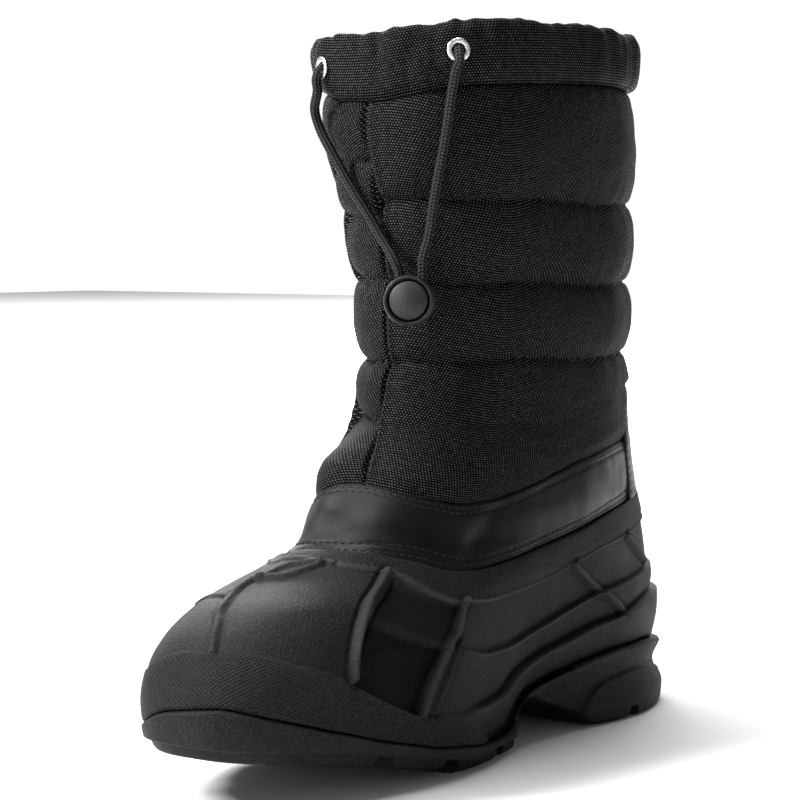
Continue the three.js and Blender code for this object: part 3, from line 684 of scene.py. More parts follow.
def fleece(name, colour):
    """Soft pile in clumps, with painted shade in the hollows between them and painted highlight on their
    tops.
    """
    finish = Finish(name, colour, 0.95, sheen=0.08, specular=0.05)
    clumps = finish.noise(520, 4)
    dark, light = finish.shade(0.5, 1.6)
    # Painted shade and highlight: the colour follows the clumps' bump, dark in the hollows and light on
    # top.
    shaded = finish.blend(finish.span(clumps, 0.35, 0.65), dark, light)
    normal = finish.bump(clumps, 0.0011)
    roughness = finish.span(clumps, 0.3, 0.7, 0.88, 1.0)
    return finish.set(Base_Color=shaded, Roughness=roughness, Normal=normal)


def braid():
    """Round braided cord: two sets of strands that cross at a slant in degrees."""
    finish = Finish("braided cord", colours().cord, 0.65, specular=0.12)
    around = math.pi * sizes().cord_width
    slant = 46.3
    strands_round = 4
    pitch = around * math.cos(math.radians(slant)) / strands_round
    strands = finish.math("MULTIPLY", finish.stripes(pitch, slant), finish.stripes(pitch, -slant))
    fibres = finish.noise(1500, 2)
    # Painted highlight and shade: the strand tops are painted up to five times lighter and the gaps between
    # them down to a fifth.
    dark, light = finish.shade(0.2, 5.0)
    colour = finish.blend(finish.span(strands, -0.7, 1, 0, 1), dark, light)
    normal = finish.bump(strands, 0.0005)
    normal = finish.bump(fibres, 0.00012, normal)
    return finish.set(Base_Color=colour, Normal=normal)


def sewing_thread():
    finish = Finish("sewing thread", colours().thread, 0.62, sheen=0.02, specular=0.2)
    twist = finish.noise(2400, 2)
    dark, light = finish.shade(0.6, 2.4)
    colour = finish.blend(finish.span(twist, 0.35, 0.65), dark, light)
    return finish.set(Base_Color=colour, Normal=finish.bump(twist, 0.00012))


def nickel():
    finish = Finish("bright nickel", colours().metal, 0.22, metallic=1.0)
    rubbed = finish.noise(700, 3)
    dark, light = finish.shade(0.82, 1.08)
    colour = finish.blend(finish.span(rubbed, 0.3, 0.7), dark, light)
    roughness = finish.span(rubbed, 0.3, 0.7, 0.3, 0.42)
    return finish.set(Base_Color=colour, Roughness=roughness, Normal=finish.bump(rubbed, 0.00001))


def satin_plastic(name, colour, roughness):
    finish = Finish(name, colour, roughness, specular=0.3)
    grain = finish.noise(1900, 2)
    handled = finish.noise(120, 2)
    dark, light = finish.shade(0.8, 1.3)
    shaded = finish.blend(finish.span(handled, 0.3, 0.7), dark, light)
    gloss = finish.span(handled, 0.3, 0.7, roughness - 0.06, roughness + 0.08)
    return finish.set(Base_Color=shaded, Roughness=gloss, Normal=finish.bump(grain, 0.00014))


# ---------------------------------------------------------------- stage

CAMERA_PLACE = (0.6137, -0.8314, 0.2117)
CAMERA_AIM = (0.0113, -0.0320, 0.1452)
CAMERA_LENS = 112.26
CAMERA_SENSOR = 36
# name, place, aim, size, power
LIGHTS = [
    ("key_softbox", (-1.1, -1.25, 1.35), (0, 0, 0.14), 0.55, 80),
    ("fill_softbox", (1.5, -0.9, 0.7), (0, 0, 0.15), 0.8, 1.2),
    ("front_softbox", (-0.3, -1.7, 0.3), (0, -0.1, 0.03), 0.6, 5),
    ("top_softbox", (-0.2, 0.1, 1.7), (0, 0, 0.1), 0.9, 30),
    ("rear_softbox", (-1.3, 1.0, 0.9), (0, 0.05, 0.15), 0.9, 12),
    ("floor_softbox", (-1.9, 3.0, 2.0), (-2.2, 3.6, 0), 3.0, 420),
]
# The surroundings are dim all round, and bright only in the direction of the backdrop.
BACKDROP_SIDE = (-0.6, 0.8, 0)
BACKDROP_DIM = 0.17
BACKDROP_BRIGHT = 1.05
# Cosines of the angle from that direction where the brightness starts to rise and where it is full.
BACKDROP_FADE = (0.7, 0.95)
FLOOR_HALF_SIDE = 6


def aimed(place, aim):
    return (Vector(aim) - Vector(place)).to_track_quat("-Z", "Y")


class BOOT_OT_stage(bpy.types.Operator):
    """Sets the camera, the pale floor and the soft lights"""

    bl_idname = "boot.stage"
    bl_label = "Stage"

    def execute(self, context):
        scene = context.scene
        scene.view_settings.view_transform = "Standard"
        camera = bpy.data.objects.new("camera", bpy.data.cameras.new("camera"))
        camera.data.lens = CAMERA_LENS
        camera.data.sensor_width = CAMERA_SENSOR
        camera.location = CAMERA_PLACE
        camera.rotation_mode = "QUATERNION"
        camera.rotation_quaternion = aimed(CAMERA_PLACE, CAMERA_AIM)
        scene.collection.objects.link(camera)
        scene.camera = camera
        for name, place, aim, size, power in LIGHTS:
            light = bpy.data.lights.new(name, "AREA")
            light.size = size
            light.energy = power
            lamp = bpy.data.objects.new(name, light)
            lamp.location = place
            lamp.rotation_mode = "QUATERNION"
            lamp.rotation_quaternion = aimed(place, aim)
            scene.collection.objects.link(lamp)
        world = bpy.data.worlds.new("studio")
        world.use_nodes = True
        tree = world.node_tree
        backdrop = tree.nodes["Background"]
        direction = tree.nodes.new("ShaderNodeTexCoord")
        behind = tree.nodes.new("ShaderNodeVectorMath")
        behind.operation = "DOT_PRODUCT"
        behind.inputs[1].default_value = BACKDROP_SIDE
        fade = tree.nodes.new("ShaderNodeMapRange")
        fade.interpolation_type = "SMOOTHSTEP"
        fade.inputs["From Min"].default_value, fade.inputs["From Max"].default_value = BACKDROP_FADE
        fade.inputs["To Min"].default_value = BACKDROP_DIM
        fade.inputs["To Max"].default_value = BACKDROP_BRIGHT
        tree.links.new(direction.outputs["Generated"], behind.inputs[0])
        tree.links.new(behind.outputs["Value"], fade.inputs["Value"])
        tree.links.new(fade.outputs["Result"], backdrop.inputs["Strength"])
        backdrop.inputs["Color"].default_value = (1, 1, 1, 1)
        scene.world = world
        bm = bmesh.new()
        bmesh.ops.create_grid(bm, x_segments=2, y_segments=2, size=FLOOR_HALF_SIDE)
        floor = finish_mesh(bm, "floor")
        finish = Finish("pale floor", colours().floor, 0.8, specular=0.2)
        mottle = finish.noise(6, 2)
        dark, light = finish.shade(0.98, 1.02)
        floor.data.materials.append(finish.set(Base_Color=finish.blend(mottle, dark, light)))
        return {"FINISHED"}


# ---------------------------------------------------------------- drawcord and cord lock

EYELETS = {"outer": (146, 284), "inner": (198.8, 278.8)}
EYELET_SEAT = 1.7
LOCK_PLACE = {"x": 18.1, "forward": 192.2, "z": 185.3, "face": 30, "lean": 2}
LOCK_RADIUS = 10.1
LOCK_HALF_DEPTH = 7
LOCK_HOLE_SIDE = 4.4
LOCK_HOLE_BACK = 3.6
# Sideways lean of each cord above the lock, and the ring's height over the eyelet's seat.
CORD_SLANT = {"outer": 0.0, "inner": -2.4}
RING_LIFT = 0.55
# Middle of each cord below its eyelet: turn, height, distance from the form.
CORD_RUNS = {
    "outer": [
        (147.3, 276.5, 5.6), (148.6, 269, 4.3), (151.8, 249.3, 4), (156.6, 227.7, 4), (159.8, 211, 4.8),
    ],
    "inner": [
        (200, 269.8, 5.3), (204.8, 262.4, 5.6), (204.8, 255, 4.8), (198.6, 244.7, 4.3), (189.5, 229, 4.2),
        (183.6, 219.0, 4.4), (179.6, 211.5, 4.9),
    ],
}
# Steps from the eyelet's seat: outward, and down.
CORD_START = [(-0.5, 1.2), (1.0, -0.3), (2.4, -2.1), (3.2, -4.8)]
# Turned shapes: radius and height.
LOCK_PROFILE = [
    (0, -7), (7.2, -7), (8.4, -6.9), (9.3, -6.4), (9.9, -5.4), (10.1, -4), (10.1, 3.6), (10.0, 4.6),
    (10.15, 5), (10.15, 5.8), (9.95, 6.5), (9.6, 6.9), (9.2, 7), (8.9, 6.9), (8.5, 6.5), (8.25, 5.9),
    (8.2, 5.2), (8.2, 0), (0, 0),
]
BUTTON_PROFILE = [
    (0, 2.8), (7.35, 2.8), (7.75, 3.3), (7.75, 6.3), (7.6, 6.75), (7.3, 7.1), (6.8, 7.42), (5.9, 7.8),
    (4.7, 8.25), (3.2, 8.65), (1.6, 8.95), (0, 9.05),
]
EYELET_PROFILE = [
    (2.45, -3), (2.9, -3), (2.9, 0.1), (4.3, 0.1), (4.6, 0.22), (4.65, 0.5), (4.4, 0.78), (4, 0.95),
    (3.5, 1), (3, 0.92), (2.65, 0.7), (2.48, 0.4), (2.45, 0), (2.45, -3),
]


def eyelet_seat(which):
    """The middle of an eyelet on the collar, and the way it faces."""
    turn, z = EYELETS[which]
    normal = outward(turn, z, True)
    return form(turn, z) + normal * EYELET_SEAT, normal


def lock_matrix():
    """Puts a shape made along +Z where the cord lock hangs, its button facing forward and outward."""
    face, lean = math.radians(LOCK_PLACE["face"]), math.radians(LOCK_PLACE["lean"])
    out = Vector((math.sin(face) * math.cos(lean), -math.cos(face) * math.cos(lean), math.sin(lean)))
    right = Vector((math.cos(face), math.sin(face), 0))
    matrix = Matrix((right, out.cross(right), out)).transposed().to_4x4()
    place = Vector((LOCK_PLACE["x"], HEEL_BACK - LOCK_PLACE["forward"], LOCK_PLACE["z"]))
    matrix.translation = place * MM
    return matrix


def cord_path(which):
    """The middle line of a cord from its eyelet down into the lock."""
    seat, normal = eyelet_seat(which)
    points = [seat + normal * out + np.array([0, 0, down]) for out, down in CORD_START]
    points += [off_form(turn, z, np.float64(out), True) for turn, z, out in CORD_RUNS[which]]
    side = LOCK_HOLE_SIDE if which == "outer" else -LOCK_HOLE_SIDE
    slant = CORD_SLANT[which]
    for up, share in ((LOCK_RADIUS + 6, 1), (LOCK_RADIUS + 1.5, 0.25), (LOCK_RADIUS - 4, 0)):
        local = Vector((side + slant * share, up, LOCK_HOLE_BACK - LOCK_HALF_DEPTH)) * MM
        points.append(np.array(lock_matrix() @ local) / MM)
    return smooth_path(points, 0.5)


class BOOT_OT_drawcord(bpy.types.Operator):
    """Makes the two runs of drawcord, the cord lock and its push button"""

    bl_idname = "boot.drawcord"
    bl_label = "Drawcord and lock"

    def execute(self, context):
        lock = turned("lock_housing", LOCK_PROFILE, lock_matrix(), 96)
        plastic = satin_plastic("lock plastic", colours().lock, 0.42)
        finished(lock, plastic, "boot", "lock_plastic", "cord_lock")
        button = turned("lock_push_button", BUTTON_PROFILE, lock_matrix(), 96)
        plastic = satin_plastic("button plastic", colours().button, 0.46)
        finished(button, plastic, "lock_button", "button_plastic", "cord_lock_button")
        cord_finish = braid()
        for which in EYELETS:
            path = cord_path(which)
            run = tube("drawcord_run_" + which, path, sizes().cord_width / MM / 2, 20)
            finished(run, cord_finish, "boot", "drawcord", "drawcord_" + which)
        return {"FINISHED"}


class BOOT_OT_eyelets(bpy.types.Operator):
    """Makes the two pressed eyelets the drawcord runs through"""

    bl_idname = "boot.eyelets"
    bl_label = "Eyelets"

    def execute(self, context):
        metal = nickel()
        for which in EYELETS:
            seat, normal = eyelet_seat(which)
            place = standing(seat + normal * RING_LIFT, normal)
            ring = turned("eyelet_ring_" + which, EYELET_PROFILE, place, 48)
            finished(ring, metal, "boot", "eyelet_metal", "eyelet_" + which)
        return {"FINISHED"}


# ---------------------------------------------------------------- rubber foot

# Edges moulded in the rubber, height by folded turn.
RIM_EDGE = [
    (0, 85.5), (36, 84), (54, 80.5), (68, 77.5), (77.5, 73), (85.5, 69), (94, 67), (101, 66), (107, 67),
    (110, 67.5), (117, 71), (128, 76), (140.5, 80.5), (162, 84), (170.5, 85), (180, 85.5),
]
UPPER_WAVE = [
    (0, 64.5), (20, 64), (40, 62), (50.5, 60.5), (59, 59), (66, 57.5), (73, 54), (82, 49), (92.5, 45.5),
    (99, 46), (107, 50.5), (114, 55),
]
LOWER_WAVE = [
    (0, 53), (26, 51.5), (39, 50.5), (54, 46.5), (63.5, 45), (73, 41), (82, 37), (89, 32.5),
    (95, 26.5), (105, 25.5), (115, 27), (120, 30),
]
# Top edge of the hatched bumper, height by turn.
BUMPER_EDGE = [
    (90, 0), (101, 10.5), (110.5, 23.5), (118, 28), (125, 35.5), (132, 43.5), (136, 47.5), (145.5, 53),
    (163, 58.5), (174, 58.5), (180, 58), (185.5, 56), (193, 51.5), (203, 47), (213, 42), (224, 35),
    (235, 28), (245, 22), (255, 12), (265, 0),
]
# How far the rim stands proud, by folded turn.
RIM_PROUD = [(0, 1.9), (60, 1.5), (85, 1.5), (105, 1.4), (118, 1.4), (140, 1.5), (180, 1.4)]
# The two ribs on each side, folded turn by height.
RIB_ONE = [(44, 133.2), (51, 133.2), (60, 133.3), (67, 134), (74, 136.2), (80, 140)]
RIB_TWO = [(26, 118.2), (38, 115.5), (47, 112.8), (54.5, 110.2), (57.5, 108.8), (68, 108.5)]
# Ribs that follow a line of (folded turn, height): line, half width, share of the rib height.
RIBS = [
    ([(108.5, 67.5), (108.8, 57.5), (110.2, 54.5), (112.8, 47), (115.5, 38), (117.8, 28.8)], 1.7, 1.0),
    ([(107.2, 53.4), (108.4, 50.5), (110.4, 44), (112.8, 36), (115.0, 28.6)], 0.9, 0.6),
    ([(76, 73), (67, 63.5), (60, 55), (54, 47.5)], 1.9, 0.8),
    ([(54, 80), (46, 74), (34, 65.5)], 1.7, 0.7),
]
RIB_CREASE = 0.8
# Ridges on the toe: line of (turn, height), half width, share of the rib height.
TOE_RIDGES = [
    ([(140, 79.5), (136.2, 74), (134, 67), (133.3, 60), (133.2, 51), (133.3, 47)], 2.6, 1.45),
    ([(226, 66), (226.7, 60), (226.8, 51), (226.7, 47)], 2.4, 0.9),
    ([(174.3, 58.5), (180, 68.5), (182.5, 72), (187.5, 75.5), (189, 78), (184.5, 79), (179.5, 79.7),
      (175.2, 81.5), (170.5, 84)], 1.7, 0.6),
    ([(186, 78.5), (184, 81.5), (179.3, 84), (175.5, 84.6), (166, 84.3)], 1.5, 0.4),
    ([(206.5, 69.5), (202, 72), (187.5, 74)], 1.5, 0.3),
]

rim_edge = smooth_table(RIM_EDGE)
upper_wave = smooth_table(UPPER_WAVE)
lower_wave = smooth_table(LOWER_WAVE)
bumper_edge = smooth_table(BUMPER_EDGE)
rim_proud = smooth_table(RIM_PROUD)
rib_one = smooth_table(RIB_ONE)
rib_two = smooth_table(RIB_TWO)


def steepness(turn, z):
    """Height gained for each millimetre up the form's face."""
    return np.linalg.norm(outward(turn, z)[..., :2], axis=-1)


def ankle_fold(turn, z):
    """How far the upper stands out of its form where the instep folds on the inner side."""
    return 4.5 * hump(turn - 198, 16) * hump(z - 113, 11) - 3.5 * hump(turn - 205, 17) * hump(z - 88, 8)


def shingle(z, top, bottom, proud, sunk, bend=2.2):
    """Proud just under its top edge and sinking toward its bottom edge."""
    t = np.clip((top - z) / (top - bottom), 0, 1)
    return proud * (1 - t) ** 1.3 - sunk * t**bend


def panel_strip(side):
    """Height of the raised strip that crosses the panel between the side ribs."""
    return 53.2 + (side - 112) * 0.7


def panel_shade_share(turn, z):
    """Share of painted shade: 1 in the sunk panel between the side ribs, less on its strip and above it."""
    side = folded(turn)
    inside = ease((rib_one(z) - side) / 0.9) * ease((side - rib_two(z)) / 0.9)
    strip = panel_strip(side)
    below = mix(0.7, 1, ease((strip - 1.5 - z) / 1.2)) * (1 - 0.5 * hump(z - strip, 1.4))
    return inside * below * ease((z - bumper_edge(turn)) / 0.8) * ease((rim_edge(side) - 1 - z) / 1.5)


def edge_highlight_and_root_shadow(turn, z, base):
    """1 along the lips and rib crests, painted lighter as a painted highlight, and 1 in the roots above the
    lips, painted dark as a painted shadow.
    """
    side = folded(turn)
    past_rim = (z - rim_edge(side)) / steepness(turn, z)
    lip = 0.8 * hump(past_rim, 0.55)
    root_shadow = 0 * z
    behind = ease((108 - side) / 6)
    for wave in (upper_wave, lower_wave):
        past = z - wave(side)
        lip = np.maximum(lip, behind * hump(past + 0.8, 0.8))
        root_shadow = np.maximum(root_shadow, behind * hump(past - 0.9, 1.3))
    for line, half, share in RIBS + TOE_RIDGES[:2]:
        for pairs in (line, mirrored(line)):
            gap = distance_to(line_on_form(pairs), base)
            lip = np.maximum(lip, (0.2 if half > 2 else 0.7 * share) * hump(gap, half))
    return lip, root_shadow


def rubber_relief(turn, z, base):
    """How far the moulded rubber stands off the form."""
    side = folded(turn)
    rim, upper, lower = rim_edge(side), upper_wave(side), lower_wave(side)
    low, bumper = sole_line(turn), bumper_edge(turn)
    rear = shingle(z, rim, upper, 0.2, 1.9)
    rear = mix(rear, shingle(z, upper, lower, 0.2, 2.9), ease((upper - z + 0.2) / 0.9))
    rear = mix(rear, shingle(z, lower, low, 1.1, 3.4, 1.5), ease((lower - z + 0.2) / 0.9))
    rear *= 1 - ease((side - 100) / 12) * 0.6
    strip = panel_strip(side)
    fall = np.clip((strip - z) / np.maximum(strip - bumper, 4), 0, 1)
    recess = 1.1 + 1.6 * fall + 1.0 * ease((strip - 1.2 - z) / 1.0) - 0.6 * hump(z - strip, 1.6)
    between = ease((rib_one(z) - side) / 0.9)
    front = mix(0.3, -recess, between)
    body = mix(rear, front, ease((side - rib_two(z) + 0.4) / 0.8))
    body = mix(body, 1.1, ease((bumper - z) / 0.9) * ease((side - 98) / 6))
    top = band_foot(turn)
    above = np.clip((z - rim) / (top - rim), 0, 1)
    past_rim = (z - rim) / steepness(turn, z)
    collar = rim_proud(side) * (1 - 0.4 * above) - 0.7 * (1 - ease((past_rim - 0.4) / 4))
    body = mix(body, collar, ease((past_rim + 0.5) / 1.0)) + 0.7 * hump(past_rim - 0.1, 0.6)
    body -= 0.9 * ease((side - 140) / 8) * ease((171 - side) / 4) * hump(past_rim + 0.9, 0.8)
    height = sizes().rib_height / MM
    for ribs, sides in ((RIBS, (False, True)), (TOE_RIDGES, (False,))):
        for line, half, share in ribs:
            for inner in sides:
                pairs = mirrored(line) if inner else line
                gap = distance_to(line_on_form(pairs), base)
                body += height * share * np.clip(1 - (gap / half / 1.12) ** 2, 0, 1) ** 0.85
                body -= RIB_CREASE * share * hump(gap - half - 0.6, 0.8)
    body -= 0.9 * (1 - ease((z - low) / 2.2))
    return body + ankle_fold(turn, z) + 0.15 * fuzz(base, 16)


def step_rows(turns, edges, counts):
    """Heights for every turn that run evenly between edges and crowd where the surface steps at each."""
    steps = np.array([-0.8, -0.4, 0.0, 0.35, 0.75])
    lines = [edges[0]]
    for edge in edges[1:-1]:
        lines += [edge + step for step in steps]
    lines.append(edges[-1])
    rows = []
    for k, (low, high) in enumerate(zip(lines, lines[1:])):
        count = counts[k // len(steps)] if k % len(steps) == 0 else 1
        rows.append(even_heights(turns, low, high, count + 1)[:, :-1])
    rows.append(lines[-1][:, None])
    return np.concatenate(rows, 1)


class BOOT_OT_rubber_foot(bpy.types.Operator):
    """Makes the moulded rubber foot with its rim, ribs, waves and toe bumper"""

    bl_idname = "boot.rubber_foot"
    bl_label = "Rubber foot"

    def execute(self, context):
        turns = even_turns(820, 50)
        low, high = sole_line(turns) + 0.3, band_foot(turns)
        side = folded(turns)
        lower = mix(lower_wave(side), bumper_edge(turns), ease((side - 104) / 10))
        upper = mix(upper_wave(side), panel_strip(side) - 1.7, ease((side - 104) / 6))
        rim = rim_edge(side)
        lower = np.clip(lower, low + 2, rim - 8)
        upper = np.clip(mix(upper, mix(lower, rim, 0.62), ease((side - 134) / 10)), lower + 3, rim - 4)
        z = step_rows(turns, [low, lower, upper, rim, high], (14, 23, 32, 7))
        turn = turn_grid(turns, z)
        base = form(turn, z)
        out = 0.3 * ease((z - 60) / 20) + rubber_relief(turn, z, base)
        top = out[:, -1:]
        lip_z = high[:, None] + np.array([0.55, 0.8, 0.6, 0])
        lip_out = np.concatenate([top - 0.35, top * 0.5 - 0.6, top * 0 - 1.7, top * 0 - 2.1], 1)
        inner_z = even_heights(turns, low, high - 2, 9)[:, ::-1]
        inner_out = np.linspace(-2.4, -4.6, 9) + 0 * inner_z
        z = np.concatenate([z, lip_z, inner_z, z[:, :1]], 1)
        out = np.concatenate([out, lip_out, inner_out, out[:, :1]], 1)
        turn = turn_grid(turns, z)
        # Masks for painted light: lips and rib crests painted lighter, roots above the lips and the sunk
        # panel painted darker.
        lip, root_shadow = edge_highlight_and_root_shadow(turn, z, form(turn, z))
        panel = np.maximum(panel_shade_share(turn, z), root_shadow)
        hatch = ease((bumper_edge(turn) - z) / 0.7) * ease((folded(turn) - 98) / 5)
        upper_panel = ease((z - 50) / 3) * ease((rib_one(z) - folded(turn)) / 1)
        hatch += 0.2 * upper_panel * ease((folded(turn) - rib_two(z)) / 1)
        points = off_form(turn, z, out)
        piece = skin("rubber_foot", points, form(turn, z), hatch=np.clip(hatch, 0, 1), panel=panel, lip=lip)
        finished(piece, moulded_rubber("foot rubber", True), "boot", "foot_rubber", "upper_shell")
        return {"FINISHED"}


# ---------------------------------------------------------------- sole

HEEL_ARCH = [(0, 14), (20, 15), (32, 16.5), (51.5, 20.5), (61, 19), (67, 13.5), (70, 7), (72, 0)]
HEEL_FLARE = [(0, 2.8), (3, 4.0), (9, 3.9), (14, 2.0), (19, 0.6), (24, 0.1), (32, 0)]
# Grooves across the sole: forward, width, depth, slant in degrees, whether it cuts the sole's edge.
GROOVES = [
    (27, 4.5, 3.6, 10, False), (62, 8, 5.4, 10, True), (169, 8, 5.2, 14, True),
    (187, 4.5, 3.5, 14, False), (211, 9, 5.6, 14, True), (230, 4.5, 3.5, 14, False),
    (251, 9, 5.4, 14, True), (270, 4.5, 3.4, 14, False), (287, 7, 4.2, 14, True),
]
heel_arch = smooth_table(HEEL_ARCH)
heel_flare = smooth_table(HEEL_FLARE)


def groove_depth(points, at_edge=False):
    """How deep the tread is cut at points, from its grooves and its fine sipes."""
    x, forward = np.abs(points[..., 0]), forward_of(points)
    depth = np.zeros_like(x)
    for place, width, deep, slant, cuts_edge in GROOVES:
        middle = place - (x - 36) * math.tan(math.radians(slant))
        if at_edge and not cuts_edge:
            continue
        reach = 1.0 if cuts_edge else ease((38 - x) / 0.8)
        cut = ease((width / 2 + 0.8 - np.abs(forward - middle)) / 1.6)
        depth = np.maximum(depth, deep * cut * reach * ease((x - 6) / 0.8))
        sipe = ease((0.95 - np.abs(forward - middle - 9.5)) / 0.4) * ease((x - 12) / 0.8)
        depth = np.maximum(depth, 1.4 * sipe * ease((34 - x) / 0.8))
    return depth


class BOOT_OT_sole(bpy.types.Operator):
    """Makes the sole with its rand, arch, heel block and tread"""

    bl_idname = "boot.sole"
    bl_label = "Sole"

    def execute(self, context):
        turns = even_turns(760, 20)
        side = folded(turns)[:, None]
        top = sole_line(turns)[:, None]
        edge = form(turns, top[:, 0])
        tread = tread_line(forward_of(form(turns, np.full_like(turns, 8.0))))[:, None]
        share = np.linspace(0, 1, 46) ** 1.15
        z = mix(top, np.minimum(tread + 0.3, top - 4), share)
        down, above = top - z, z - tread
        turn = turn_grid(turns, z)
        front = ease((side - 84) / 6)
        rand = 1.7 * ease((down + 0.1) / 1.3) - 2.2 * (1 - ease((above - 5.2) / 1.0))
        block = 1.4 * ease((heel_arch(side) - z) / 1.0)
        heel = 0.6 * ease(down / 1.0) - 3.8 * ease(down / 10) + block + heel_flare(z)
        out = mix(heel, rand, front) - 1.2 * (1 - ease(above / 1.4)) + 0.1 * fuzz(form(turn, z), 9)
        wall = off_form(turn, z, out, True)
        under = off_form(turns, z[:, -1], out[:, -1] - 1.6, True)
        under[:, 2] = tread_line(forward_of(under))
        wall[:, :, 2] = np.maximum(wall[:, :, 2], tread + groove_depth(wall, True) * (above < 7))
        centre = (under + under[::-1]) / 2
        inward = np.linspace(0, 1, 60)[:, None]
        soles = mix(under[:, None], centre[:, None], inward)
        soles[:, :, 2] = tread_line(forward_of(soles)) + groove_depth(soles)
        shelf = off_form(turns, top[:, 0], np.full_like(turns, -4.8), True)
        bed = off_form(turns, top[:, 0], np.full_like(turns, -6.0), True)
        beds = mix(bed[:, None], ((bed + bed[::-1]) / 2)[:, None], np.linspace(1, 0, 10)[:, None])
        beds[:, :, 2] = bed_line(forward_of(beds))
        lip = edge + outward(turns, top[:, 0], True) * 0.2
        lip[:, 2] -= 0.25
        points = np.concatenate([beds, shelf[:, None], lip[:, None], wall[:, 1:], soles], 1)
        piece = skin("tread_sole", points)
        finished(piece, moulded_rubber("sole rubber"), "boot", "sole_rubber", "outsole")
        return {"FINISHED"}


# ---------------------------------------------------------------- leather band and back stay

# Stitch rows on the band: distance up from its foot, or down from its head.
ROWS_UP = (3.0, 5.7)
ROWS_DOWN = (1.6, 3.4)
STAY_HALF_TURN = 50
STAY_HEAD = 139
STAY_CROWN = 7
STAY_FOOT_LIFT = 0.6
STAY_THICKNESS = 1.6


def band_out(turn, z):
    """How far the leather band stands off the form."""
    low, high = band_foot(turn), band_head(turn)
    steep = steepness(turn, z)
    rise, fall = (z - low) / steep, (high - z) / steep
    out = mix(-3.3, -2.5, ease((rise + 2) / 2))
    out = mix(out, -0.5, ease((rise + 0.2) / 2.2))
    middle = np.clip((z - low) / (high - low), 0, 1)
    out += 1.15 * np.sin(math.pi * middle) ** 0.8
    for row in ROWS_UP:
        out -= 0.3 * hump(rise - row, 0.7)
    for row in ROWS_DOWN:
        out -= 0.3 * hump(fall - row, 0.7)
    base = form(turn, z)
    dents = 0.85 * fuzz(base, (24, 24, 30), 3.1) + 0.3 * fuzz(base, (9, 9, 14), 7.7)
    dents -= 1.2 * hump(turn - 117, 5) * hump(middle - 0.5, 0.4)
    around = from_back(turn)
    pressed = ease((STAY_HALF_TURN + 2 - around) / 4)
    out = mix(out, np.minimum(out, -0.2), pressed) + ankle_fold(turn, z)
    dents *= 1 - pressed
    return out + dents * ease(rise / 5) * ease(fall / 4) - 0.5 * (1 - ease(fall / 0.5))


def stay_lines(place, rise):
    """Turns and heights on the stay: place is -1 to 1 across it, and rise is 0 to 1 up it."""
    turn = (place * STAY_HALF_TURN) % 360
    head = STAY_HEAD + STAY_CROWN * (1 - place**2)
    return turn, mix(band_foot(turn) + STAY_FOOT_LIFT, head, rise)


def stay_out(turn, z):
    """How far the back stay stands off the form."""
    around = from_back(turn)
    over_nylon = ease((z - band_head(turn) + 1) / 3)
    out = mix(1.1, 0.8, over_nylon) - 0.4 * (1 - ease((STAY_HALF_TURN - around) / 3))
    return out + 0.2 * fuzz(form(turn, z), 14, 5.5)


class BOOT_OT_leather(bpy.types.Operator):
    """Makes the leather band and the stay up the heel's back, with their stitching"""

    bl_idname = "boot.leather"
    bl_label = "Leather band and stay"

    def execute(self, context):
        leather, thread = waxed_leather(), sewing_thread()
        turns = even_turns(760, 95)
        low, high = band_foot(turns)[:, None], band_head(turns)[:, None]
        tucked = mix(low - 5, low, np.linspace(0, 1, 4))
        z = np.concatenate([tucked, mix(low, high, np.linspace(0, 1, 44)[1:])], 1)
        turn = turn_grid(turns, z)
        out = band_out(turn, z)
        edge_z = high + np.array([0.25, 0.2, -0.1])
        edge_out = out[:, -1:] + np.array([-0.3, -1.0, -1.6])
        inner_z = mix(high - 1, low - 5, np.linspace(0, 1, 6))
        inner_out = out[:, [-1, 20, 14, 8, 3, 0]] - np.array([1.9, 2.1, 2, 2, 2, 2])
        z = np.concatenate([z, edge_z, inner_z, z[:, :1]], 1)
        out = np.concatenate([out, edge_out, inner_out, out[:, :1]], 1)
        turn = turn_grid(turns, z)
        band = skin("leather_band", off_form(turn, z, out), form(turn, z))
        finished(band, leather, "boot", "band_leather", "upper_band")

        bm = bmesh.new()
        run = even_turns(720, 95)
        for edge, rows in ((band_foot, ROWS_UP), (band_head, [-row for row in ROWS_DOWN])):
            for row in rows:
                height = edge(run) + row * steepness(run, edge(run) + row)
                sew(bm, run, height, band_out(run, height) + 0.08)
        finished(finish_mesh(bm, "band_stitching"), thread, "boot", "band_leather")

        turn, z = stay_lines(np.linspace(-1, 1, 73)[:, None], np.linspace(0, 1, 54)[None])
        face = off_form(turn, z, stay_out(turn, z))
        back = off_form(turn, z, stay_out(turn, z) - STAY_THICKNESS)
        strip = np.concatenate([face, back[:, ::-1], face[:, :1]], 1)
        half = (face + back)[[0, -1]] / 2
        ends = np.concatenate([half, half[:, ::-1], half[:, :1]], 1)
        strip = np.concatenate([ends[:1], strip, ends[1:]], 0)
        stay = skin("heel_stay", strip)
        finished(stay, leather, "boot", "band_leather", "back_stay")

        bm = bmesh.new()
        heights = np.linspace(0.03, 0.97, 60)
        for edge in (-1, 1):
            for inset in (0.045, 0.1):
                turn, z = stay_lines(np.full(60, edge * (1 - inset)), heights)
                sew(bm, turn, z, stay_out(turn, z) - 0.15)
        for height in (0.03, 0.97):
            turn, z = stay_lines(np.linspace(-0.94, 0.94, 90), height)
            sew(bm, turn, z, stay_out(turn, z) - 0.15)
        finished(finish_mesh(bm, "stay_stitching"), thread, "boot", "band_leather")
        return {"FINISHED"}


# ---------------------------------------------------------------- padded shaft and collar

OUTER_SEAMS = (160, 191, 224.5)
GUSSET_SEAMS = (138, 160.5, 194.5, 218.5, 241.5)
FRONT_SEAM = [(100, 173), (112, 175), (123, 178.5), (136, 181), (200, 181.5), (264, 182.5), (300, 183)]
GUSSET_END = 214
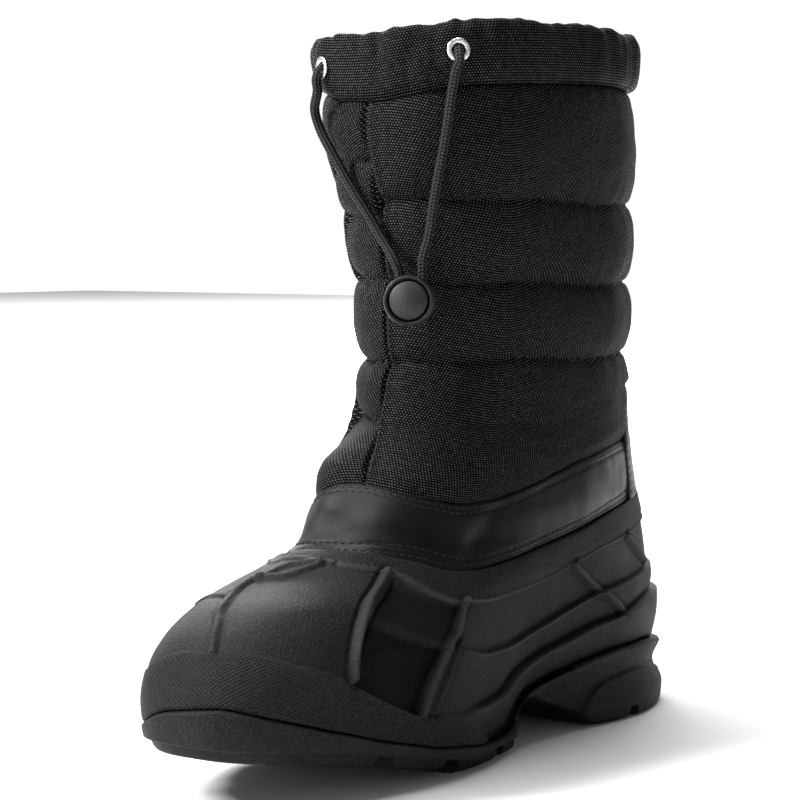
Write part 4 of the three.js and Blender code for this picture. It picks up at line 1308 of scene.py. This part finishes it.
# The shaft's radius, which turns degrees round it into a distance.
SHAFT_RADIUS = 60
front_seam = smooth_table(FRONT_SEAM)


def seam_heights(turn, seams):
    """The quilt seams' heights at each turn, with the band below and the casing above."""
    sway = 0.9 * np.sin(np.radians(turn * 3 + 40)) + 0.5 * np.sin(np.radians(turn * 7))
    inside = [z + sway for z in seams]
    return [band_head(turn) - 3.5, *inside, casing_seam(turn)]


def channels(turn, z, seams):
    """Puffed channels between quilt seams, and the distance to the nearest seam."""
    puff, sink = sizes().quilt_puff / MM, sizes().quilt_sink / MM
    out = np.full(z.shape, -sink - 0.9)
    near = np.full(z.shape, 99.0)
    lines = seam_heights(turn, seams)
    for low, high in zip(lines, lines[1:]):
        t = np.clip((z - low) / (high - low), 0, 1)
        fullness = puff * (0.75 + (high - low) / 110)
        level = mix(-sink, fullness, np.sin(math.pi * t) ** 0.36)
        out = np.where((z >= low) & (z <= high), level, out)
    for line in lines:
        near = np.minimum(near, np.abs(z - line))
    return out, near


def shaft_out(turn, z):
    """How far the quilted shaft stands off the form."""
    base = form(turn, z)
    outer, near_outer = channels(turn, z, OUTER_SEAMS)
    gusset, near_gusset = channels(turn, z, GUSSET_SEAMS)
    seam = front_seam(z)
    reach = np.radians(1) * SHAFT_RADIUS
    inside = ease((turn - seam) / 1.2) * (1 - ease((turn - GUSSET_END) / 1.5))
    out = mix(outer, gusset * 1.05, inside)
    near = mix(near_outer, near_gusset, inside)
    gap = (turn - seam) * reach
    end_gap = (turn - GUSSET_END) * reach
    out += -2.4 * hump(gap, 0.9) + 0.6 * hump(gap + 2.4, 1.5) - 0.8 * hump(end_gap, 1.0)
    puckers = fuzz(base, (7, 7, 26), 11.3)
    out += 0.9 * puckers * np.exp(-near / 7) * ease(near / 1.2)
    out += 0.9 * fuzz(base, (34, 34, 26), 2.2) + 0.35 * fuzz(base, (15, 15, 7), 4.4)
    creases = fuzz(base, (22, 22, 3.4), 9.1)
    out += 0.45 * creases * hump(z - 128, 26)
    out -= 2.0 * ease((z - 200) / 50) * hump(folded(turn) - 60, 44)
    around = from_back(turn)
    pressed = ease((STAY_HALF_TURN + 3 - around) / 4) * ease((STAY_HEAD + 9 - z) / 4)
    out = mix(out, np.minimum(out, -0.8), pressed)
    out -= 1.3 * ease((z - 215) / 40) * hump(turn - 205, 22)
    head = band_head(turn)
    out = np.minimum(out, -1.6 + 0.55 * np.maximum(z - head, 0))
    return mix(-3.9, out, ease((z - head + 1) / 1.5)) + ankle_fold(turn, z)


# The casing's section, open at its foot over the shaft's top: share of the way from its seam to its
# rim, and distance out.
COLLAR_SECTION = [
    (0.0, -4.2), (0.03, -2.2), (0.09, -0.4), (0.2, 0.7), (0.4, 1.2), (0.62, 1.1), (0.79, 0.7),
    (0.91, -0.3), (0.98, -1.8), (1.0, -3.8), (0.97, -5.6), (0.86, -7.3), (0.6, -8.8), (0.3, -9.2),
    (0.05, -8.6), (0.0, -7.0),
]


def collar_points(turns, steps):
    """The casing's section swept round, gathered toward its rim."""
    share = np.linspace(0, 1, len(COLLAR_SECTION))
    fine = np.linspace(0, 1, steps)
    rise = smooth_table(list(zip(share, [row[0] for row in COLLAR_SECTION])))(fine)[None]
    out = smooth_table(list(zip(share, [row[1] for row in COLLAR_SECTION])))(fine)[None]
    turn = np.repeat(turns[:, None], steps, 1)
    seam = casing_seam(turn)
    rim_base = form(turns, collar_rim(turns))
    wave = 1.7 * fuzz(rim_base, (12, 12, 40), 21.0) + 1.0 * fuzz(rim_base, (5, 5, 40), 31.0)
    z = seam + (collar_rim(turn) - seam) * rise + wave[:, None] * ease((rise - 0.5) * 2)
    flat = form(turn, np.full_like(turn, 285.0))
    pleats = fuzz(flat + np.array([0, 0, 1.0]) * z[..., None], (6.5, 6.5, 38), 41.0)
    broad = fuzz(flat, (19, 19, 30), 51.0)
    depth = sizes().gather_depth / MM
    gathered = depth * (1.0 * pleats * ease(rise * 1.4) + 0.9 * broad) + 0.7 * pleats * hump(rise, 0.16)
    calm = np.ones_like(z)
    pit = np.zeros_like(z)
    for which in EYELETS:
        seat, _ = eyelet_seat(which)
        place = off_form(turn, z, out + 0 * z, True)
        gap = np.linalg.norm(place - seat, axis=2)
        calm *= ease((gap - 4.5) / 7)
        pit += 4.5 * ease((3.1 - gap) / 0.7)
    slim = 1.6 * hump(folded(turn) - 62, 44)
    facing = out > -2.5
    out = np.where(facing, mix(EYELET_SEAT + 0.1, out + gathered, calm) - pit, out + gathered * 0.5)
    return off_form(turn, z, out - slim * calm, True), off_form(turn, z, 0 * z, True)


class BOOT_OT_shaft(bpy.types.Operator):
    """Makes the quilted nylon shaft, the gathered collar and their stitching"""

    bl_idname = "boot.shaft"
    bl_label = "Shaft and collar"

    def execute(self, context):
        nylon = woven_nylon()
        turns = even_turns(600, 200)
        low, high = band_head(turns)[:, None], casing_seam(turns)[:, None]
        padded = mix(low + 0.6, high - 0.2, np.linspace(0, 1, 134))
        z = np.concatenate([low + np.array([[-6, -3, 0]]), padded], 1)
        turn = turn_grid(turns, z)
        out = shaft_out(turn, z)
        inner_z = mix(high, low - 6, np.linspace(0, 1, 7))
        inner_out = np.linspace(-7, -9, 7) + 0 * inner_z
        inner_out[:, -1] = -7.5
        z = np.concatenate([z, inner_z, z[:, :1]], 1)
        out = np.concatenate([out, inner_out, out[:, :1]], 1)
        turn = turn_grid(turns, z)
        shaft = skin("padded_shaft", off_form(turn, z, out), form(turn, z))
        finished(shaft, nylon, "boot", "shaft_nylon", "upper_shaft")

        points, base = collar_points(even_turns(680, 280), 64)
        collar = skin("gathered_collar", points, base)
        finished(collar, nylon, "boot", "shaft_nylon", "upper_collar")

        bm = bmesh.new()
        outer_run = np.concatenate([np.linspace(GUSSET_END, 360, 260), np.linspace(0, 180.5, 300)[1:]])
        gusset_run = np.linspace(183, GUSSET_END - 1, 80)
        for seams, run in ((OUTER_SEAMS, outer_run), (GUSSET_SEAMS, gusset_run)):
            for seam in seams:
                height = seam_heights(run, (seam,))[1] + 0.2
                sew(bm, run, height, shaft_out(run, height) + 0.1, gap=4.2, long=2.4)
        height = np.linspace(114, 264, 300)
        run = front_seam(height) - 2.6
        sew(bm, run, height, shaft_out(run, height) - 0.05)
        finished(finish_mesh(bm, "shaft_stitching"), sewing_thread(), "boot", "shaft_nylon")
        return {"FINISHED"}


# ---------------------------------------------------------------- lining and footbed

# The lining's depth inside the form, by height.
LINING_HEIGHTS = (20, 60, 80, 96, 112, 250, 272, 292)
LINING_DEPTHS = (-4.6, -4.6, -5.8, -7.2, -9.4, -9.4, -9.6, -8.4)
LINING_THICKNESS = 1.7
# The footbed from its underside round its edge: share of the way to the middle, height over the sole.
FOOTBED_EDGE = [(1, 0.4), (0, 0.4), (-0.012, 1.8), (-0.012, 4.2), (0, 4.9), (0.03, 5), (0.2, 4.7)]


class BOOT_OT_inside(bpy.types.Operator):
    """Makes the fleece lining and the felt footbed"""

    bl_idname = "boot.inside"
    bl_label = "Lining and footbed"

    def execute(self, context):
        turns = even_turns(360, 120)
        rim = collar_rim(turns)[:, None]
        bed = bed_line(forward_of(form(turns, 40 + 0 * turns)))
        floor = np.maximum(sole_line(turns) + 4, bed + 6)[:, None]
        share = np.concatenate([np.linspace(0, 1, 70), np.linspace(1, 0, 24)])
        face = np.concatenate([np.zeros(70), np.ones(24)])
        z = mix(rim - 7, floor, share)
        turn = turn_grid(turns, z)
        depth = np.interp(z, LINING_HEIGHTS, LINING_DEPTHS)
        pile = 0.5 * fuzz(form(turn, z), (26, 26, 34), 61.0)
        out = depth - LINING_THICKNESS * (1 - face) + pile - 0.35
        points = off_form(turn, z, out, True)
        points = np.concatenate([points, points[:, :1]], 1)
        lining = skin("fleece_lining", points)
        finished(lining, fleece("fleece", colours().lining), "boot", "shaft_nylon")

        turns = even_turns(240, 30)
        edge = off_form(turns, np.maximum(sole_line(turns), 22), np.full_like(turns, -8.6), True)
        hollow = [(s, 4.7 - 0.5 * math.sin(math.pi * s)) for s in (0.4, 0.6, 0.8, 1.0)]
        centre = (edge + edge[::-1]) / 2
        layers = []
        for inset, rise in FOOTBED_EDGE + hollow:
            layer = mix(edge, centre, inset)
            layer[:, 2] = bed_line(forward_of(layer)) + rise
            layers.append(layer)
        footbed = skin("felt_footbed", np.stack(layers, 1))
        finished(footbed, fleece("felt", colours().lining), "boot", "footbed", "insole")
        return {"FINISHED"}


# ---------------------------------------------------------------- panel and run


class BOOT_PT_panel(bpy.types.Panel):
    """Sizes, colours and pieces of the boot"""

    bl_idname = "BOOT_PT_panel"
    bl_label = "Winter boot"
    bl_space_type = "VIEW_3D"
    bl_region_type = "UI"
    bl_category = "Boot"

    def draw(self, context):
        for group in (context.scene.boot_sizes, context.scene.boot_colours):
            box = self.layout.box()
            for name in group.bl_rna.properties.keys():
                if name not in ("rna_type", "name"):
                    box.prop(group, name)
        for step in STEPS:
            self.layout.operator(step.bl_idname)


STEPS = (
    BOOT_OT_stage,
    BOOT_OT_drawcord,
    BOOT_OT_eyelets,
    BOOT_OT_rubber_foot,
    BOOT_OT_sole,
    BOOT_OT_leather,
    BOOT_OT_shaft,
    BOOT_OT_inside,
)
CLASSES = (BootSizes, BootColours, *STEPS, BOOT_PT_panel)


def register():
    for cls in CLASSES:
        bpy.utils.register_class(cls)
    bpy.types.Scene.boot_sizes = bpy.props.PointerProperty(type=BootSizes)
    bpy.types.Scene.boot_colours = bpy.props.PointerProperty(type=BootColours)


def unregister():
    del bpy.types.Scene.boot_sizes
    del bpy.types.Scene.boot_colours
    for cls in reversed(CLASSES):
        bpy.utils.unregister_class(cls)


def main():
    register()
    bpy.ops.boot.stage()
    bpy.ops.boot.drawcord()
    bpy.ops.boot.eyelets()
    bpy.ops.boot.rubber_foot()
    bpy.ops.boot.sole()
    bpy.ops.boot.leather()
    bpy.ops.boot.shaft()
    bpy.ops.boot.inside()


if __name__ == "__main__":
    main()
